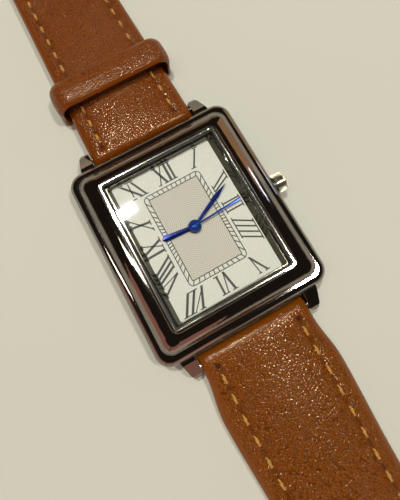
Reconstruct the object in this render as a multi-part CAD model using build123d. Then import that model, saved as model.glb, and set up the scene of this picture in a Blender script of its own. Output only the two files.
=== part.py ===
from build123d import *
import math
import os

os.makedirs("parts", exist_ok=True)

# Rectangular quartz watch on an open leather strap, in millimetres.
# The origin is the centre of the case back's outer face, which lies on the table.
# +X points at the crown, +Y at 12 o'clock and +Z up through the dial.

# Clearances
running_gap = 0.04
slip_gap = 0.05
seat_gap = 0.02
pocket_gap = 0.05
overrun = 1.0

# Case
case_width = 27.9
case_length = 31.8
case_height = 4.2
case_corner_radius = 2.4
case_shoulder_radius = 1.1
case_tuck_radius = 1.1
cavity_width = 19.3
cavity_length = 24.3
cavity_corner_radius = 1.2

# Case back
back_plate_thickness = 0.8
back_lip_height = 0.8
back_lip_wall = 0.5
back_edge_margin = 0.75
back_edge_radius = 0.3
back_notch_width = 3.0
back_notch_depth = 0.35
back_gasket_width = 0.5
back_gasket_height = 0.45

# Lugs and strap bars
lug_inset = 4.95
lug_root_width = 2.2
lug_tip_width = 1.3
lug_reach = 3.0
lug_root_overlap = 3.0
lug_top_drop = 0.35
lug_tip_top_z = 3.1
lug_tip_low_z = 1.3
lug_under_reach = 1.6
lug_under_z = 0.85
lug_edge_chamfer = 0.4
strap_bar_reach = 1.9
strap_bar_z = 2.2
strap_bar_radius = 0.75
strap_bar_wall = 0.3
strap_bar_end_gap = 0.3
bar_pin_radius = 0.41
bar_pin_reach = 0.8
bar_pin_length = 2.8

# Bezel and crystal
bezel_width = 25.2
bezel_length = 28.9
bezel_corner_radius = 1.7
bezel_side_height = 0.5
bezel_slope_height = 1.33
bezel_bead = 0.12
bezel_skirt_depth = 0.35
rim_width = 20.0
rim_length = 24.4
rim_corner_radius = 1.0
rim_band = 0.5
rim_height = 0.12
crystal_thickness = 1.1
crystal_stand = 0.05
crystal_chamfer = 0.15
crystal_gasket_wall = 0.25
crystal_gasket_drop = 0.2
crystal_ledge = 0.3

# Dial, dial ring and hands
dial_thickness = 0.35
dial_play = 0.25
dial_corner_radius = 1.0
dial_foot_radius = 0.3
dial_foot_length = 1.5
window_width = 16.8
window_length = 22.2
window_corner_radius = 0.3
ring_top_wall = 0.15
hand_thickness = 0.12
hand_gap = 0.11
hour_hand_rise = 0.25
hour_hand_length = 5.15
hour_hand_root_width = 0.6
hour_hand_tip_width = 1.0
minute_hand_length = 8.15
minute_hand_root_width = 0.4
minute_hand_wide = 0.72
second_hand_length = 8.1
second_hand_root_width = 0.22
second_hand_tip_width = 0.36
hour_hub_radius = 1.0
minute_hub_radius = 0.9
second_hub_radius = 0.95
second_hub_height = 0.3
minutes_shown = 10.7
seconds_shown = 14.5
hours_shown = 9.0

# Movement
movement_width = 15.3
movement_length = 17.8
movement_corner_radius = 1.8
plate_low_z = 1.6
plate_top_z = 3.55
train_pocket_top_z = 2.75
pivot_depth = 0.25
arbor_radius = 0.12
bridge_thickness = 0.3
holder_top_z = 4.25
wheel_thickness = 0.15
pinion_margin = 0.03
train_pocket_margin = 0.2
gear_addendum_share = 0.8
gear_dedendum_share = 1.0
gear_root_width_share = 0.27
gear_tip_width_share = 0.12
centre_distance = 2.1
rotor_distance = 1.7
fifth_distance = 2.45
third_angle = 150.0
fifth_angle = 40.0
rotor_angle = 80.0
minute_wheel_angle = -70.0
fifth_gear_z = 2.05
seconds_gear_z = 2.3
centre_gear_z = 2.52
cannon_pinion_z = 3.64
hour_gear_z = 3.93
cannon_pipe_radius = 0.42
hour_pipe_radius = 0.7
rotor_teeth = 6
fifth_gear_teeth = 60
fifth_pinion_teeth = 12
seconds_gear_teeth = 36
seconds_pinion_teeth = 8
third_gear_teeth = 60
third_pinion_teeth = 8
centre_gear_teeth = 64
cannon_teeth = 12
minute_gear_teeth = 36
minute_pinion_teeth = 10
hour_gear_teeth = 40
magnet_radius = 0.75
magnet_height = 0.34
stator_thickness = 0.3
stator_hole_radius = 0.95
stator_leg_width = 1.2
stator_leg_x = 5.0
stator_bar_y = 3.25
stator_bar_width = 2.8
coil_y = 7.0
coil_width = 2.3
coil_height = 1.5
coil_length = 8.0
coil_core_width = 1.1
coil_core_length = 11.0
coil_corner_radius = 0.5
battery_radius = 3.4
battery_height = 2.5
battery_x = -3.4
battery_y = -4.7
battery_cap_radius = 2.7
battery_cap_height = 0.15
clamp_thickness = 0.15
clamp_width = 1.8
clamp_reach = 6.2
clamp_foot_length = 1.7
clamp_foot_inset = 0.3
board_thickness = 0.2
board_x = 4.8
board_y = -5.4
board_width = 5.0
board_length = 6.4
board_corner_radius = 0.5
can_radius = 0.75
can_length = 5.0
can_x = 4.5
can_y = -5.7
screw_shank_radius = 0.28
screw_head_radius = 0.55
screw_head_height = 0.25
screw_depth = 0.9
screw_slot_width = 0.15
screw_slot_depth = 0.12
bridge_screw_left_x = -4.5
bridge_screw_right_x = 3.9
bridge_screw_y = -0.2
board_screw_x = 6.5
board_screw_y = -5.4
foot_left_x = -6.6
foot_left_y = 1.2
foot_right_x = 6.6
foot_right_y = -1.9

# Crown, stem and setting parts
stem_z = 2.85
stem_radius = 0.45
stem_square = 0.6
stem_groove_radius = 0.2
stem_groove_width = 0.5
stem_groove_x = 6.3
stem_square_low_x = 3.3
stem_square_high_x = 5.95
stem_pull = 0.9
clutch_radius = 0.8
clutch_length = 1.2
clutch_x = 5.2
clutch_teeth = 12
clutch_tooth_depth = 0.15
crown_radius = 1.5
crown_length = 1.8
crown_stand_off = 0.25
crown_knurls = 22
crown_knurl_depth = 0.16
crown_dome = 0.35
tube_radius = 0.9
tube_wall = 0.38
tube_reach = 0.72
crown_seal_width = 0.33
crown_seal_depth = 0.32
crown_seal_inset = 0.35
crown_thread_depth = 0.6
lever_thickness = 0.2
lever_width = 0.8
lever_arm = 2.6
lever_pin_radius = 0.15
lever_stud_radius = 0.25
lever_stud_length = 0.5

# Strap, shared by both halves
strap_side_gap = 0.12
strap_loop_radius = 1.55
strap_lining_thickness = 0.7
strap_plain_reach = 1.8
strap_edge_lift = 0.15

# Short half with the buckle, on the 12 o'clock side
short_length = 75.0
short_end_width = 14.0
short_floor_z = 1.3
short_ramp = 3.2
short_edge_thickness = 1.9
short_crown_thickness = 2.75
short_end_edge_thickness = 1.7
short_end_crown_thickness = 2.1
short_loop_radius = 1.15

# Long half with the holes, on the 6 o'clock side
long_length = 115.0
long_flare_reach = 7.5
long_flare_step = 0.92
long_end_width = 14.0
long_ramp = 6.2
long_edge_thickness = 2.0
long_crown_thickness = 3.5
long_mid_reach = 48.0
long_mid_crown_thickness = 2.5
long_end_edge_thickness = 1.7
long_end_crown_thickness = 1.95
long_tip_taper = 12.0
long_tip_radius = 2.2
long_tip_shoulder = 0.5
hole_radius = 0.95
hole_pitch = 6.5
hole_first_inset = 22.0
hole_count = 7

# Keepers
keeper_side_gap = 0.5
keeper_depth = 4.8
keeper_height = 6.4
keeper_wall = 0.9
keeper_corner_radius = 1.8
keeper_inner_radius = 0.15
keeper_reach = 10.6
fixed_keeper_depth = 4.0
fixed_keeper_height = 5.6
fixed_keeper_inset = 9.0

# Buckle
buckle_side_gap = 0.3
buckle_arm_width = 1.7
buckle_reach = 12.0
buckle_back_reach = 1.7
buckle_bar_radius = 0.65
buckle_bar_in_arm = 1.1
buckle_cross_depth = 2.2
buckle_thickness = 1.7
buckle_corner_radius = 3.0
tongue_radius = 0.55
tongue_hub_radius = 1.05
tongue_hub_length = 1.8
tongue_overhang = 0.5
tongue_slot_width = 2.4
tongue_slot_depth = 2.6

# Places that follow from the sizes above
case_low_z = back_plate_thickness
case_top_z = case_low_z + case_height
cavity_half_x = cavity_width / 2
lug_gap = case_width - 2 * lug_inset
lug_inner_x = lug_gap / 2
lug_tip_y = case_length / 2 + lug_reach
lug_under_y = case_length / 2 + lug_under_reach
strap_bar_y = case_length / 2 + strap_bar_reach
strap_lug_width = lug_gap - 2 * strap_side_gap
long_flare_width = strap_lug_width + 2 * long_flare_step
keeper_width = strap_lug_width + 2 * (keeper_wall + keeper_side_gap)
keeper_y = strap_bar_y + keeper_reach
buckle_inner_width = short_end_width + 2 * buckle_side_gap
lug_top_z = case_top_z - lug_top_drop
dial_low_z = holder_top_z
dial_top_z = dial_low_z + dial_thickness
bezel_edge_z = case_top_z + bezel_side_height
rim_low_z = bezel_edge_z + bezel_slope_height
rim_top_z = rim_low_z + rim_height
crystal_low_z = rim_top_z + crystal_stand - crystal_thickness
pocket_width = rim_width - 2 * rim_band
pocket_length = rim_length - 2 * rim_band
pocket_corner_radius = rim_corner_radius - rim_band
glass_width = pocket_width - 2 * crystal_gasket_wall
glass_length = pocket_length - 2 * crystal_gasket_wall
glass_corner_radius = pocket_corner_radius - crystal_gasket_wall
ledge_width = pocket_width - 2 * (crystal_gasket_wall + crystal_ledge / 2)
ledge_length = pocket_length - 2 * (crystal_gasket_wall + crystal_ledge / 4)
bridge_low_z = plate_low_z - bridge_thickness
pivot_low_z = bridge_low_z + slip_gap
pivot_high_z = train_pocket_top_z + pivot_depth - slip_gap
hour_hand_z = dial_top_z + hour_hand_rise
minute_hand_z = hour_hand_z + hand_thickness + hand_gap
second_hand_z = minute_hand_z + hand_thickness + hand_gap
magnet_low_z = plate_low_z + slip_gap
stator_low_z = plate_low_z + slip_gap
coil_core_z = stator_low_z + stator_thickness
coil_z = coil_core_z + stator_thickness / 2
battery_low_z = plate_top_z - battery_height
crown_low_x = case_width / 2 + crown_stand_off
crown_high_x = crown_low_x + crown_length
tube_high_x = crown_low_x + tube_reach
minute_turn = 360 * minutes_shown / 60
hour_turn = 360 * (hours_shown + minutes_shown / 60) / 12
second_turn = 360 * seconds_shown / 60
short_bar_y = strap_bar_y + short_length
short_bar_z = short_floor_z + short_loop_radius
cross_bar_y = short_bar_y + buckle_reach
cross_bar_z = buckle_thickness / 2


def save(part, name):
    """Write one sub-part under its own name."""
    part.label = name
    export_step(part, f"parts/{name}.step")


def rounded_block(width, length, radius, low_z, high_z):
    """Upright block with rounded corners, centred on the Z axis."""
    outline = RectangleRounded(width, length, radius)
    return Pos(0, 0, low_z) * extrude(outline, amount=high_z - low_z)


def block(low_x, high_x, low_y, high_y, low_z, high_z):
    """Plain block between two corners."""
    solid = Box(high_x - low_x, high_y - low_y, high_z - low_z)
    return Pos((low_x + high_x) / 2, (low_y + high_y) / 2, (low_z + high_z) / 2) * solid


def post(radius, x, y, low_z, high_z):
    """Round post along Z."""
    return Pos(x, y, (low_z + high_z) / 2) * Cylinder(radius, high_z - low_z)


def rod_x(radius, low_x, high_x, y, z):
    """Round rod along X."""
    return Pos((low_x + high_x) / 2, y, z) * Rot(0, 90, 0) * Cylinder(radius, high_x - low_x)


def rod_y(radius, x, low_y, high_y, z):
    """Round rod along Y."""
    return Pos(x, (low_y + high_y) / 2, z) * Rot(90, 0, 0) * Cylinder(radius, high_y - low_y)


def polar(distance, angle):
    """Point at a distance and angle from the centre of the dial."""
    return (distance * math.cos(math.radians(angle)), distance * math.sin(math.radians(angle)))


def side_band(points, low_x, high_x):
    """Outline in the YZ plane, carried across from one X to another."""
    outline = make_face(Polyline(*[(0, y, z) for y, z in points], close=True))
    return Pos(low_x, 0, 0) * extrude(outline, amount=high_x - low_x, dir=(1, 0, 0))


def plan_band(points, low_z, high_z):
    """Outline in the XY plane, carried up from one Z to another."""
    outline = make_face(Polyline(*[(x, y, 0) for x, y in points], close=True))
    return Pos(0, 0, low_z) * extrude(outline, amount=high_z - low_z, dir=(0, 0, 1))


def gear(teeth, pitch_radius, low_z, high_z, x=0, y=0, tooth_angle=0.0):
    """Toothed disc with one tooth centred on tooth_angle."""
    module = 2 * pitch_radius / teeth
    tip = pitch_radius + gear_addendum_share * module
    root = pitch_radius - gear_dedendum_share * module
    step = 360 / teeth
    sides = (
        (root, -gear_root_width_share),
        (tip, -gear_tip_width_share),
        (tip, gear_tip_width_share),
        (root, gear_root_width_share),
    )
    points = []
    for tooth in range(teeth):
        for radius, share in sides:
            points.append(polar(radius, tooth_angle + (tooth + share) * step))
    return Pos(x, y, 0) * plan_band(points, low_z, high_z)


def split_distance(distance, teeth, other_teeth):
    """Pitch radius of the first of two wheels in mesh at a distance."""
    return distance * teeth / (teeth + other_teeth)


def facing_gap(direction, teeth):
    """Tooth angle that turns a gap towards the wheel that drives this one."""
    return direction + 180 + 180 / teeth


third_x, third_y = polar(centre_distance, third_angle)
fifth_x, fifth_y = polar(fifth_distance, fifth_angle)
rotor_step_x, rotor_step_y = polar(rotor_distance, rotor_angle)
rotor_x = fifth_x + rotor_step_x
rotor_y = fifth_y + rotor_step_y
minute_wheel_x, minute_wheel_y = polar(centre_distance, minute_wheel_angle)


def side_profile_lug():
    """Side outline of a lug, from inside the case wall to its blunt tip."""
    root_y = case_length / 2 - lug_root_overlap
    return [
        (root_y, lug_top_z),
        (case_length / 2 + case_shoulder_radius / 2, lug_top_z - lug_edge_chamfer),
        (lug_tip_y - lug_edge_chamfer, lug_tip_top_z),
        (lug_tip_y, lug_tip_top_z - lug_edge_chamfer),
        (lug_tip_y, lug_tip_low_z),
        (lug_under_y, lug_under_z),
        (root_y, lug_under_z),
    ]


def lug():
    """One lug, at the crown side of 12 o'clock."""
    root_y = case_length / 2 - lug_root_overlap
    plan = [
        (lug_inner_x, root_y),
        (lug_inner_x + lug_root_width, root_y),
        (lug_inner_x + lug_root_width, case_length / 2),
        (lug_inner_x + lug_tip_width + lug_edge_chamfer, lug_tip_y - lug_tip_width / 2),
        (lug_inner_x + lug_tip_width, lug_tip_y),
        (lug_inner_x + lug_edge_chamfer, lug_tip_y),
        (lug_inner_x, lug_tip_y - lug_edge_chamfer),
    ]
    side = side_band(side_profile_lug(), lug_inner_x - overrun, lug_inner_x + lug_root_width + overrun)
    finger = plan_band(plan, 0, case_top_z + overrun) & side
    hole_end_x = lug_inner_x + bar_pin_reach + strap_bar_end_gap / 2
    hole_radius_here = bar_pin_radius + slip_gap
    return finger - rod_x(hole_radius_here, lug_inner_x - overrun, hole_end_x, strap_bar_y, strap_bar_z)


def case_body():
    """Middle case with its shoulder, lugs, back seat and crown bore."""
    body = rounded_block(case_width, case_length, case_corner_radius, case_low_z, case_top_z)
    body = fillet(body.edges().group_by(Axis.Z)[-1], case_shoulder_radius)
    body = fillet(body.edges().group_by(Axis.Z)[0], case_tuck_radius)
    finger = lug()
    for turn_x, turn_y in ((1, 1), (-1, 1), (1, -1), (-1, -1)):
        copy = finger
        if turn_x < 0:
            copy = mirror(copy, about=Plane.YZ)
        if turn_y < 0:
            copy = mirror(copy, about=Plane.XZ)
        body += copy
    lip_width = cavity_width + 2 * back_lip_wall
    lip_length = cavity_length + 2 * back_lip_wall
    lip_radius = cavity_corner_radius + back_lip_wall
    seal_width = lip_width + 2 * back_gasket_width
    seal_length = lip_length + 2 * back_gasket_width
    seal_radius = lip_radius + back_gasket_width
    low = case_low_z - overrun
    body -= rounded_block(cavity_width, cavity_length, cavity_corner_radius, low, case_top_z + overrun)
    body -= rounded_block(lip_width, lip_length, lip_radius, low, case_low_z + back_lip_height)
    body -= rounded_block(seal_width, seal_length, seal_radius, low, case_low_z + back_gasket_height)
    body -= rod_x(tube_radius + seat_gap, cavity_half_x - overrun, case_width, 0, stem_z)
    return body


def crown_tube():
    """Tube pressed into the case wall, which the crown slides over."""
    outer = rod_x(tube_radius, cavity_half_x, tube_high_x, 0, stem_z)
    bore = rod_x(tube_radius - tube_wall, cavity_half_x - overrun, tube_high_x + overrun, 0, stem_z)
    return outer - bore


def case_back():
    """Snap-on back with its inner lip, rounded edge and a lifting notch."""
    lip_width = cavity_width + 2 * back_lip_wall
    lip_length = cavity_length + 2 * back_lip_wall
    plate_width = lip_width + 2 * (back_gasket_width + back_edge_margin)
    plate_length = lip_length + 2 * (back_gasket_width + back_edge_margin)
    plate_radius = cavity_corner_radius + back_lip_wall + back_gasket_width + back_edge_margin
    plate = rounded_block(plate_width, plate_length, plate_radius, 0, back_plate_thickness)
    plate = fillet(plate.edges().group_by(Axis.Z)[0], back_edge_radius)
    lip_high_z = back_plate_thickness + back_lip_height - seat_gap
    lip = rounded_block(
        lip_width - 2 * seat_gap,
        lip_length - 2 * seat_gap,
        cavity_corner_radius + back_lip_wall - seat_gap,
        back_plate_thickness,
        lip_high_z,
    )
    lip -= rounded_block(cavity_width, cavity_length, cavity_corner_radius, 0, lip_high_z + overrun)
    notch = block(
        -back_notch_width / 2,
        back_notch_width / 2,
        plate_length / 2 - back_notch_depth,
        plate_length / 2 + overrun,
        back_plate_thickness - back_notch_depth,
        back_plate_thickness + overrun,
    )
    return plate + lip - notch


def case_back_gasket():
    """Flat ring round the lip of the back."""
    lip_width = cavity_width + 2 * back_lip_wall
    lip_length = cavity_length + 2 * back_lip_wall
    lip_radius = cavity_corner_radius + back_lip_wall
    high_z = case_low_z + back_gasket_height - seat_gap
    ring = rounded_block(
        lip_width + 2 * (back_gasket_width - seat_gap),
        lip_length + 2 * (back_gasket_width - seat_gap),
        lip_radius + back_gasket_width - seat_gap,
        case_low_z,
        high_z,
    )
    hole = rounded_block(lip_width, lip_length, lip_radius, case_low_z - overrun, high_z + overrun)
    return ring - hole


def bezel_section(inset_share, rise_share):
    """Outline of the bezel at one height of its rounded slope."""
    foot_width = bezel_width - 2 * bezel_bead
    foot_length = bezel_length - 2 * bezel_bead
    width = foot_width + (rim_width - foot_width) * inset_share
    length = foot_length + (rim_length - foot_length) * inset_share
    radius = bezel_corner_radius + (rim_corner_radius - bezel_corner_radius) * inset_share
    height = bezel_edge_z + bezel_slope_height * rise_share
    return Pos(0, 0, height) * RectangleRounded(width, length, radius)


def bezel():
    """Stepped upper tier with a convex slope, a bright rim and the crystal seat."""
    side = rounded_block(bezel_width, bezel_length, bezel_corner_radius, case_top_z, bezel_edge_z)
    side = chamfer(side.edges().group_by(Axis.Z)[-1], bezel_bead)
    slope_shares = ((0.0, 0.0), (0.12, 0.32), (0.34, 0.62), (0.64, 0.86), (1.0, 1.0))
    slope = loft([bezel_section(inset, rise) for inset, rise in slope_shares])
    rim = rounded_block(rim_width, rim_length, rim_corner_radius, rim_low_z, rim_top_z)
    rim = chamfer(rim.edges().group_by(Axis.Z)[-1], rim_height / 2)
    skirt = rounded_block(
        cavity_width - 2 * seat_gap,
        cavity_length - 2 * seat_gap,
        cavity_corner_radius - seat_gap,
        case_top_z - bezel_skirt_depth,
        case_top_z,
    )
    body = side + slope + rim + skirt
    body -= rounded_block(
        pocket_width, pocket_length, pocket_corner_radius, crystal_low_z, rim_top_z + overrun
    )
    body -= rounded_block(ledge_width, ledge_length, glass_corner_radius, 0, rim_top_z + overrun)
    return body


def crystal():
    """Flat mineral crystal with a small polished chamfer."""
    glass = rounded_block(
        glass_width - 2 * seat_gap,
        glass_length - 2 * seat_gap,
        glass_corner_radius,
        crystal_low_z,
        crystal_low_z + crystal_thickness,
    )
    return chamfer(glass.edges().group_by(Axis.Z)[-1], crystal_chamfer)


def crystal_gasket():
    """Thin ring between the crystal and its pocket."""
    high_z = rim_top_z - crystal_gasket_drop
    ring = rounded_block(
        pocket_width - 2 * seat_gap,
        pocket_length - 2 * seat_gap,
        pocket_corner_radius - seat_gap,
        crystal_low_z,
        high_z,
    )
    return ring - rounded_block(glass_width, glass_length, glass_corner_radius, 0, high_z + overrun)


def dial_ring():
    """Polished sloping ring between the dial and the crystal."""
    outer_width = ledge_width - 2 * seat_gap
    outer_length = ledge_length - 2 * seat_gap
    top_z = crystal_low_z - seat_gap
    outer = rounded_block(outer_width, outer_length, glass_corner_radius, dial_top_z, top_z)
    low_hole = Pos(0, 0, dial_top_z) * RectangleRounded(
        window_width, window_length, window_corner_radius
    )
    top_hole = Pos(0, 0, top_z) * RectangleRounded(
        outer_width - 2 * ring_top_wall, outer_length - 2 * ring_top_wall, window_corner_radius
    )
    return outer - loft([low_hole, top_hole], ruled=True)


def dial():
    """Dial plate with its centre hole and two feet."""
    plate = rounded_block(
        cavity_width - 2 * dial_play,
        cavity_length - 2 * dial_play,
        dial_corner_radius,
        dial_low_z,
        dial_top_z,
    )
    for x, y in ((foot_left_x, foot_left_y), (foot_right_x, foot_right_y)):
        plate += post(dial_foot_radius, x, y, dial_low_z - dial_foot_length, dial_low_z)
    return plate - post(hour_pipe_radius + 2 * running_gap, 0, 0, 0, dial_top_z + overrun)


def movement_holder():
    """Plastic frame that centres the movement and carries the dial."""
    frame = rounded_block(
        cavity_width - 2 * pocket_gap,
        cavity_length - 2 * pocket_gap,
        cavity_corner_radius - pocket_gap,
        back_plate_thickness,
        holder_top_z,
    )
    frame -= rounded_block(
        movement_width + 2 * pocket_gap,
        movement_length + 2 * pocket_gap,
        movement_corner_radius,
        0,
        holder_top_z + overrun,
    )
    return frame - rod_x(tube_radius - tube_wall + slip_gap, 0, cavity_width, 0, stem_z)


def train_pockets(low_z):
    """Round pockets that the wheels of the train turn in."""
    centre_reach = centre_distance
    pockets = post(centre_reach, 0, 0, low_z, train_pocket_top_z)
    pockets += post(centre_reach, third_x, third_y, low_z, train_pocket_top_z)
    fifth_reach = rotor_distance + train_pocket_margin
    pockets += post(fifth_reach, fifth_x, fifth_y, low_z, train_pocket_top_z)
    pockets += post(stator_hole_radius, rotor_x, rotor_y, low_z, train_pocket_top_z)
    return pockets


def main_plate():
    """Moulded main plate with pockets for the train, coil, cell, can and stem."""
    low = plate_low_z - overrun
    high = plate_top_z + overrun
    plate = rounded_block(
        movement_width, movement_length, movement_corner_radius, plate_low_z, plate_top_z
    )
    plate -= train_pockets(low)
    leg_reach = stator_leg_x + stator_leg_width / 2 + pocket_gap
    coil_edge_y = coil_y + coil_width / 2 + pocket_gap
    plate -= block(
        -leg_reach,
        leg_reach,
        stator_bar_y - stator_bar_width / 2 - pocket_gap,
        coil_edge_y,
        low,
        coil_core_z + slip_gap,
    )
    coil_top_z = coil_z + coil_height / 2 + pocket_gap
    coil_low_y = coil_y - coil_width / 2 - pocket_gap
    core_reach = coil_core_length / 2 + pocket_gap
    plate -= block(-core_reach, core_reach, coil_low_y, coil_edge_y, low, coil_top_z)
    plate -= post(battery_radius + pocket_gap, battery_x, battery_y, low, high)
    plate -= block(
        can_x - can_radius - pocket_gap,
        can_x + can_radius + pocket_gap,
        can_y - can_length / 2 - pocket_gap,
        can_y + can_length / 2 + pocket_gap,
        low,
        plate_low_z + 2 * can_radius + pocket_gap,
    )
    plate -= rod_x(stem_radius + slip_gap, stem_square_low_x - stem_radius, movement_width, 0, stem_z)
    clutch_reach = clutch_radius + 2 * pocket_gap
    plate -= block(
        clutch_x - clutch_length / 2 - pocket_gap,
        clutch_x + clutch_length / 2 + pocket_gap,
        -clutch_reach,
        clutch_reach,
        stem_z - clutch_reach,
        high,
    )
    pin_reach = lever_pin_radius + 2 * pocket_gap
    plate -= block(
        stem_groove_x - pin_reach,
        stem_groove_x + stem_pull + pin_reach,
        -pin_reach,
        pin_reach,
        stem_z,
        high,
    )
    lever_x = stem_groove_x + stem_pull / 2
    stud_low_z = plate_top_z - lever_stud_length
    plate -= post(lever_stud_radius + running_gap, lever_x, lever_arm, stud_low_z, high)
    for x, y in ((foot_left_x, foot_left_y), (foot_right_x, foot_right_y)):
        foot_low_z = dial_low_z - dial_foot_length - slip_gap
        plate -= post(dial_foot_radius + seat_gap, x, y, foot_low_z, high)
    plate -= post(cannon_pipe_radius + running_gap, 0, 0, low, high)
    for x, y in ((third_x, third_y), (fifth_x, fifth_y), (rotor_x, rotor_y)):
        plate -= post(arbor_radius + running_gap, x, y, low, train_pocket_top_z + pivot_depth)
    minute_low_z = plate_top_z - 2 * pivot_depth
    plate -= post(arbor_radius + running_gap, minute_wheel_x, minute_wheel_y, minute_low_z, high)
    for x, y, seat_z in screw_places():
        plate -= post(screw_shank_radius + seat_gap, x, y, low, seat_z + screw_depth + slip_gap)
    return plate


def screw_places():
    """Each movement screw's X and Y, and the Z that its head bears on."""
    clamp_foot_x = battery_x + battery_radius + clamp_foot_inset + clamp_foot_length / 2
    return (
        (bridge_screw_left_x, bridge_screw_y, bridge_low_z),
        (bridge_screw_right_x, bridge_screw_y, bridge_low_z),
        (board_screw_x, board_screw_y, plate_low_z - board_thickness),
        (clamp_foot_x, battery_y, plate_low_z - clamp_thickness),
    )


def movement_screws():
    """Four slotted screws that hold the bridge, board and cell clamp."""
    screws = []
    for x, y, seat_z in screw_places():
        screw = post(screw_head_radius, x, y, seat_z - screw_head_height, seat_z)
        screw += post(screw_shank_radius, x, y, seat_z, seat_z + screw_depth)
        screw -= block(
            x - screw_head_radius - overrun,
            x + screw_head_radius + overrun,
            y - screw_slot_width / 2,
            y + screw_slot_width / 2,
            seat_z - screw_head_height - overrun,
            seat_z - screw_head_height + screw_slot_depth,
        )
        screws.append(screw)
    return Compound(children=screws)


def train_bridge():
    """Plate that carries the lower pivots of the train."""
    margin = screw_head_radius + bridge_thickness
    bridge = block(
        bridge_screw_left_x - margin,
        bridge_screw_right_x + margin,
        bridge_screw_y - margin,
        rotor_y + margin,
        bridge_low_z,
        plate_low_z,
    )
    bridge = fillet(bridge.edges().filter_by(Axis.Z), margin / 2)
    low = bridge_low_z - overrun
    pivots = ((0, 0), (third_x, third_y), (fifth_x, fifth_y), (rotor_x, rotor_y))
    for x, y in pivots:
        bridge -= post(arbor_radius + running_gap, x, y, low, plate_low_z + overrun)
    for x in (bridge_screw_left_x, bridge_screw_right_x):
        bridge -= post(screw_shank_radius + seat_gap, x, bridge_screw_y, low, plate_low_z + overrun)
    return bridge


def arbor(x, y, low_z, high_z):
    """Thin steel arbor of a wheel."""
    return post(arbor_radius, x, y, low_z, high_z)


def pinion(teeth, other_teeth, distance, gear_z, x, y, direction):
    """Small driving wheel, a little thicker than the wheel it turns."""
    radius = split_distance(distance, teeth, other_teeth)
    low_z = gear_z - pinion_margin
    high_z = gear_z + wheel_thickness + pinion_margin
    return gear(teeth, radius, low_z, high_z, x, y, direction)


def wheel(teeth, other_teeth, distance, gear_z, x, y, direction):
    """Large wheel with a gap turned towards the pinion at that direction."""
    radius = split_distance(distance, teeth, other_teeth)
    tooth_angle = facing_gap(direction, teeth)
    return gear(teeth, radius, gear_z, gear_z + wheel_thickness, x, y, tooth_angle)


def rotor():
    """Round magnet with its pinion."""
    magnet = post(magnet_radius, rotor_x, rotor_y, magnet_low_z, magnet_low_z + magnet_height)
    teeth = pinion(
        rotor_teeth, fifth_gear_teeth, rotor_distance, fifth_gear_z, rotor_x, rotor_y, rotor_angle + 180
    )
    return magnet + teeth + arbor(rotor_x, rotor_y, pivot_low_z, pivot_high_z)


def fifth_wheel():
    """Wheel between the rotor and the seconds wheel."""
    disc = wheel(
        fifth_gear_teeth, rotor_teeth, rotor_distance, fifth_gear_z, fifth_x, fifth_y, rotor_angle + 180
    )
    teeth = pinion(
        fifth_pinion_teeth,
        seconds_gear_teeth,
        fifth_distance,
        seconds_gear_z,
        fifth_x,
        fifth_y,
        fifth_angle + 180,
    )
    return disc + teeth + arbor(fifth_x, fifth_y, pivot_low_z, pivot_high_z)


def seconds_wheel():
    """Centre wheel of the second hand, with the long arbor that carries it."""
    disc = wheel(
        seconds_gear_teeth, fifth_pinion_teeth, fifth_distance, seconds_gear_z, 0, 0, fifth_angle + 180
    )
    teeth = pinion(
        seconds_pinion_teeth, third_gear_teeth, centre_distance, fifth_gear_z, 0, 0, third_angle
    )
    return disc + teeth + arbor(0, 0, pivot_low_z, second_hand_z + hand_thickness)


def third_wheel():
    """Wheel between the seconds wheel and the minute pipe."""
    disc = wheel(
        third_gear_teeth, seconds_pinion_teeth, centre_distance, fifth_gear_z, third_x, third_y, third_angle
    )
    teeth = pinion(
        third_pinion_teeth,
        centre_gear_teeth,
        centre_distance,
        centre_gear_z,
        third_x,
        third_y,
        third_angle + 180,
    )
    return disc + teeth + arbor(third_x, third_y, pivot_low_z, pivot_high_z)


def cannon_pinion():
    """Minute pipe with its wheel and the pinion of the hour train."""
    disc = wheel(
        centre_gear_teeth, third_pinion_teeth, centre_distance, centre_gear_z, 0, 0, third_angle + 180
    )
    teeth = pinion(
        cannon_teeth, minute_gear_teeth, centre_distance, cannon_pinion_z, 0, 0, minute_wheel_angle
    )
    pipe = post(cannon_pipe_radius, 0, 0, centre_gear_z, minute_hand_z + hand_thickness)
    return disc + teeth + pipe - post(arbor_radius + running_gap, 0, 0, 0, rim_top_z)


def minute_wheel():
    """Step-down wheel between the minute pipe and the hour wheel."""
    disc = wheel(
        minute_gear_teeth,
        cannon_teeth,
        centre_distance,
        cannon_pinion_z,
        minute_wheel_x,
        minute_wheel_y,
        minute_wheel_angle,
    )
    teeth = pinion(
        minute_pinion_teeth,
        hour_gear_teeth,
        centre_distance,
        hour_gear_z,
        minute_wheel_x,
        minute_wheel_y,
        minute_wheel_angle + 180,
    )
    low_z = plate_top_z - pivot_depth
    return disc + teeth + arbor(minute_wheel_x, minute_wheel_y, low_z, hour_gear_z + wheel_thickness)


def hour_wheel():
    """Hour wheel and its pipe, which turns round the minute pipe."""
    disc = wheel(
        hour_gear_teeth,
        minute_pinion_teeth,
        centre_distance,
        hour_gear_z,
        0,
        0,
        minute_wheel_angle + 180,
    )
    pipe = post(hour_pipe_radius, 0, 0, hour_gear_z, hour_hand_z + hand_thickness)
    return disc + pipe - post(cannon_pipe_radius + running_gap, 0, 0, 0, rim_top_z)


def hand(outline, low_z, hub_radius, bore_radius, clock_angle):
    """Flat hand drawn at 12 o'clock, then turned clockwise to its time."""
    blade = plan_band(outline, low_z, low_z + hand_thickness)
    blade += post(hub_radius, 0, 0, low_z, low_z + hand_thickness)
    blade -= post(bore_radius, 0, 0, 0, low_z + hand_thickness + overrun)
    return Rot(0, 0, -clock_angle) * blade


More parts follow.
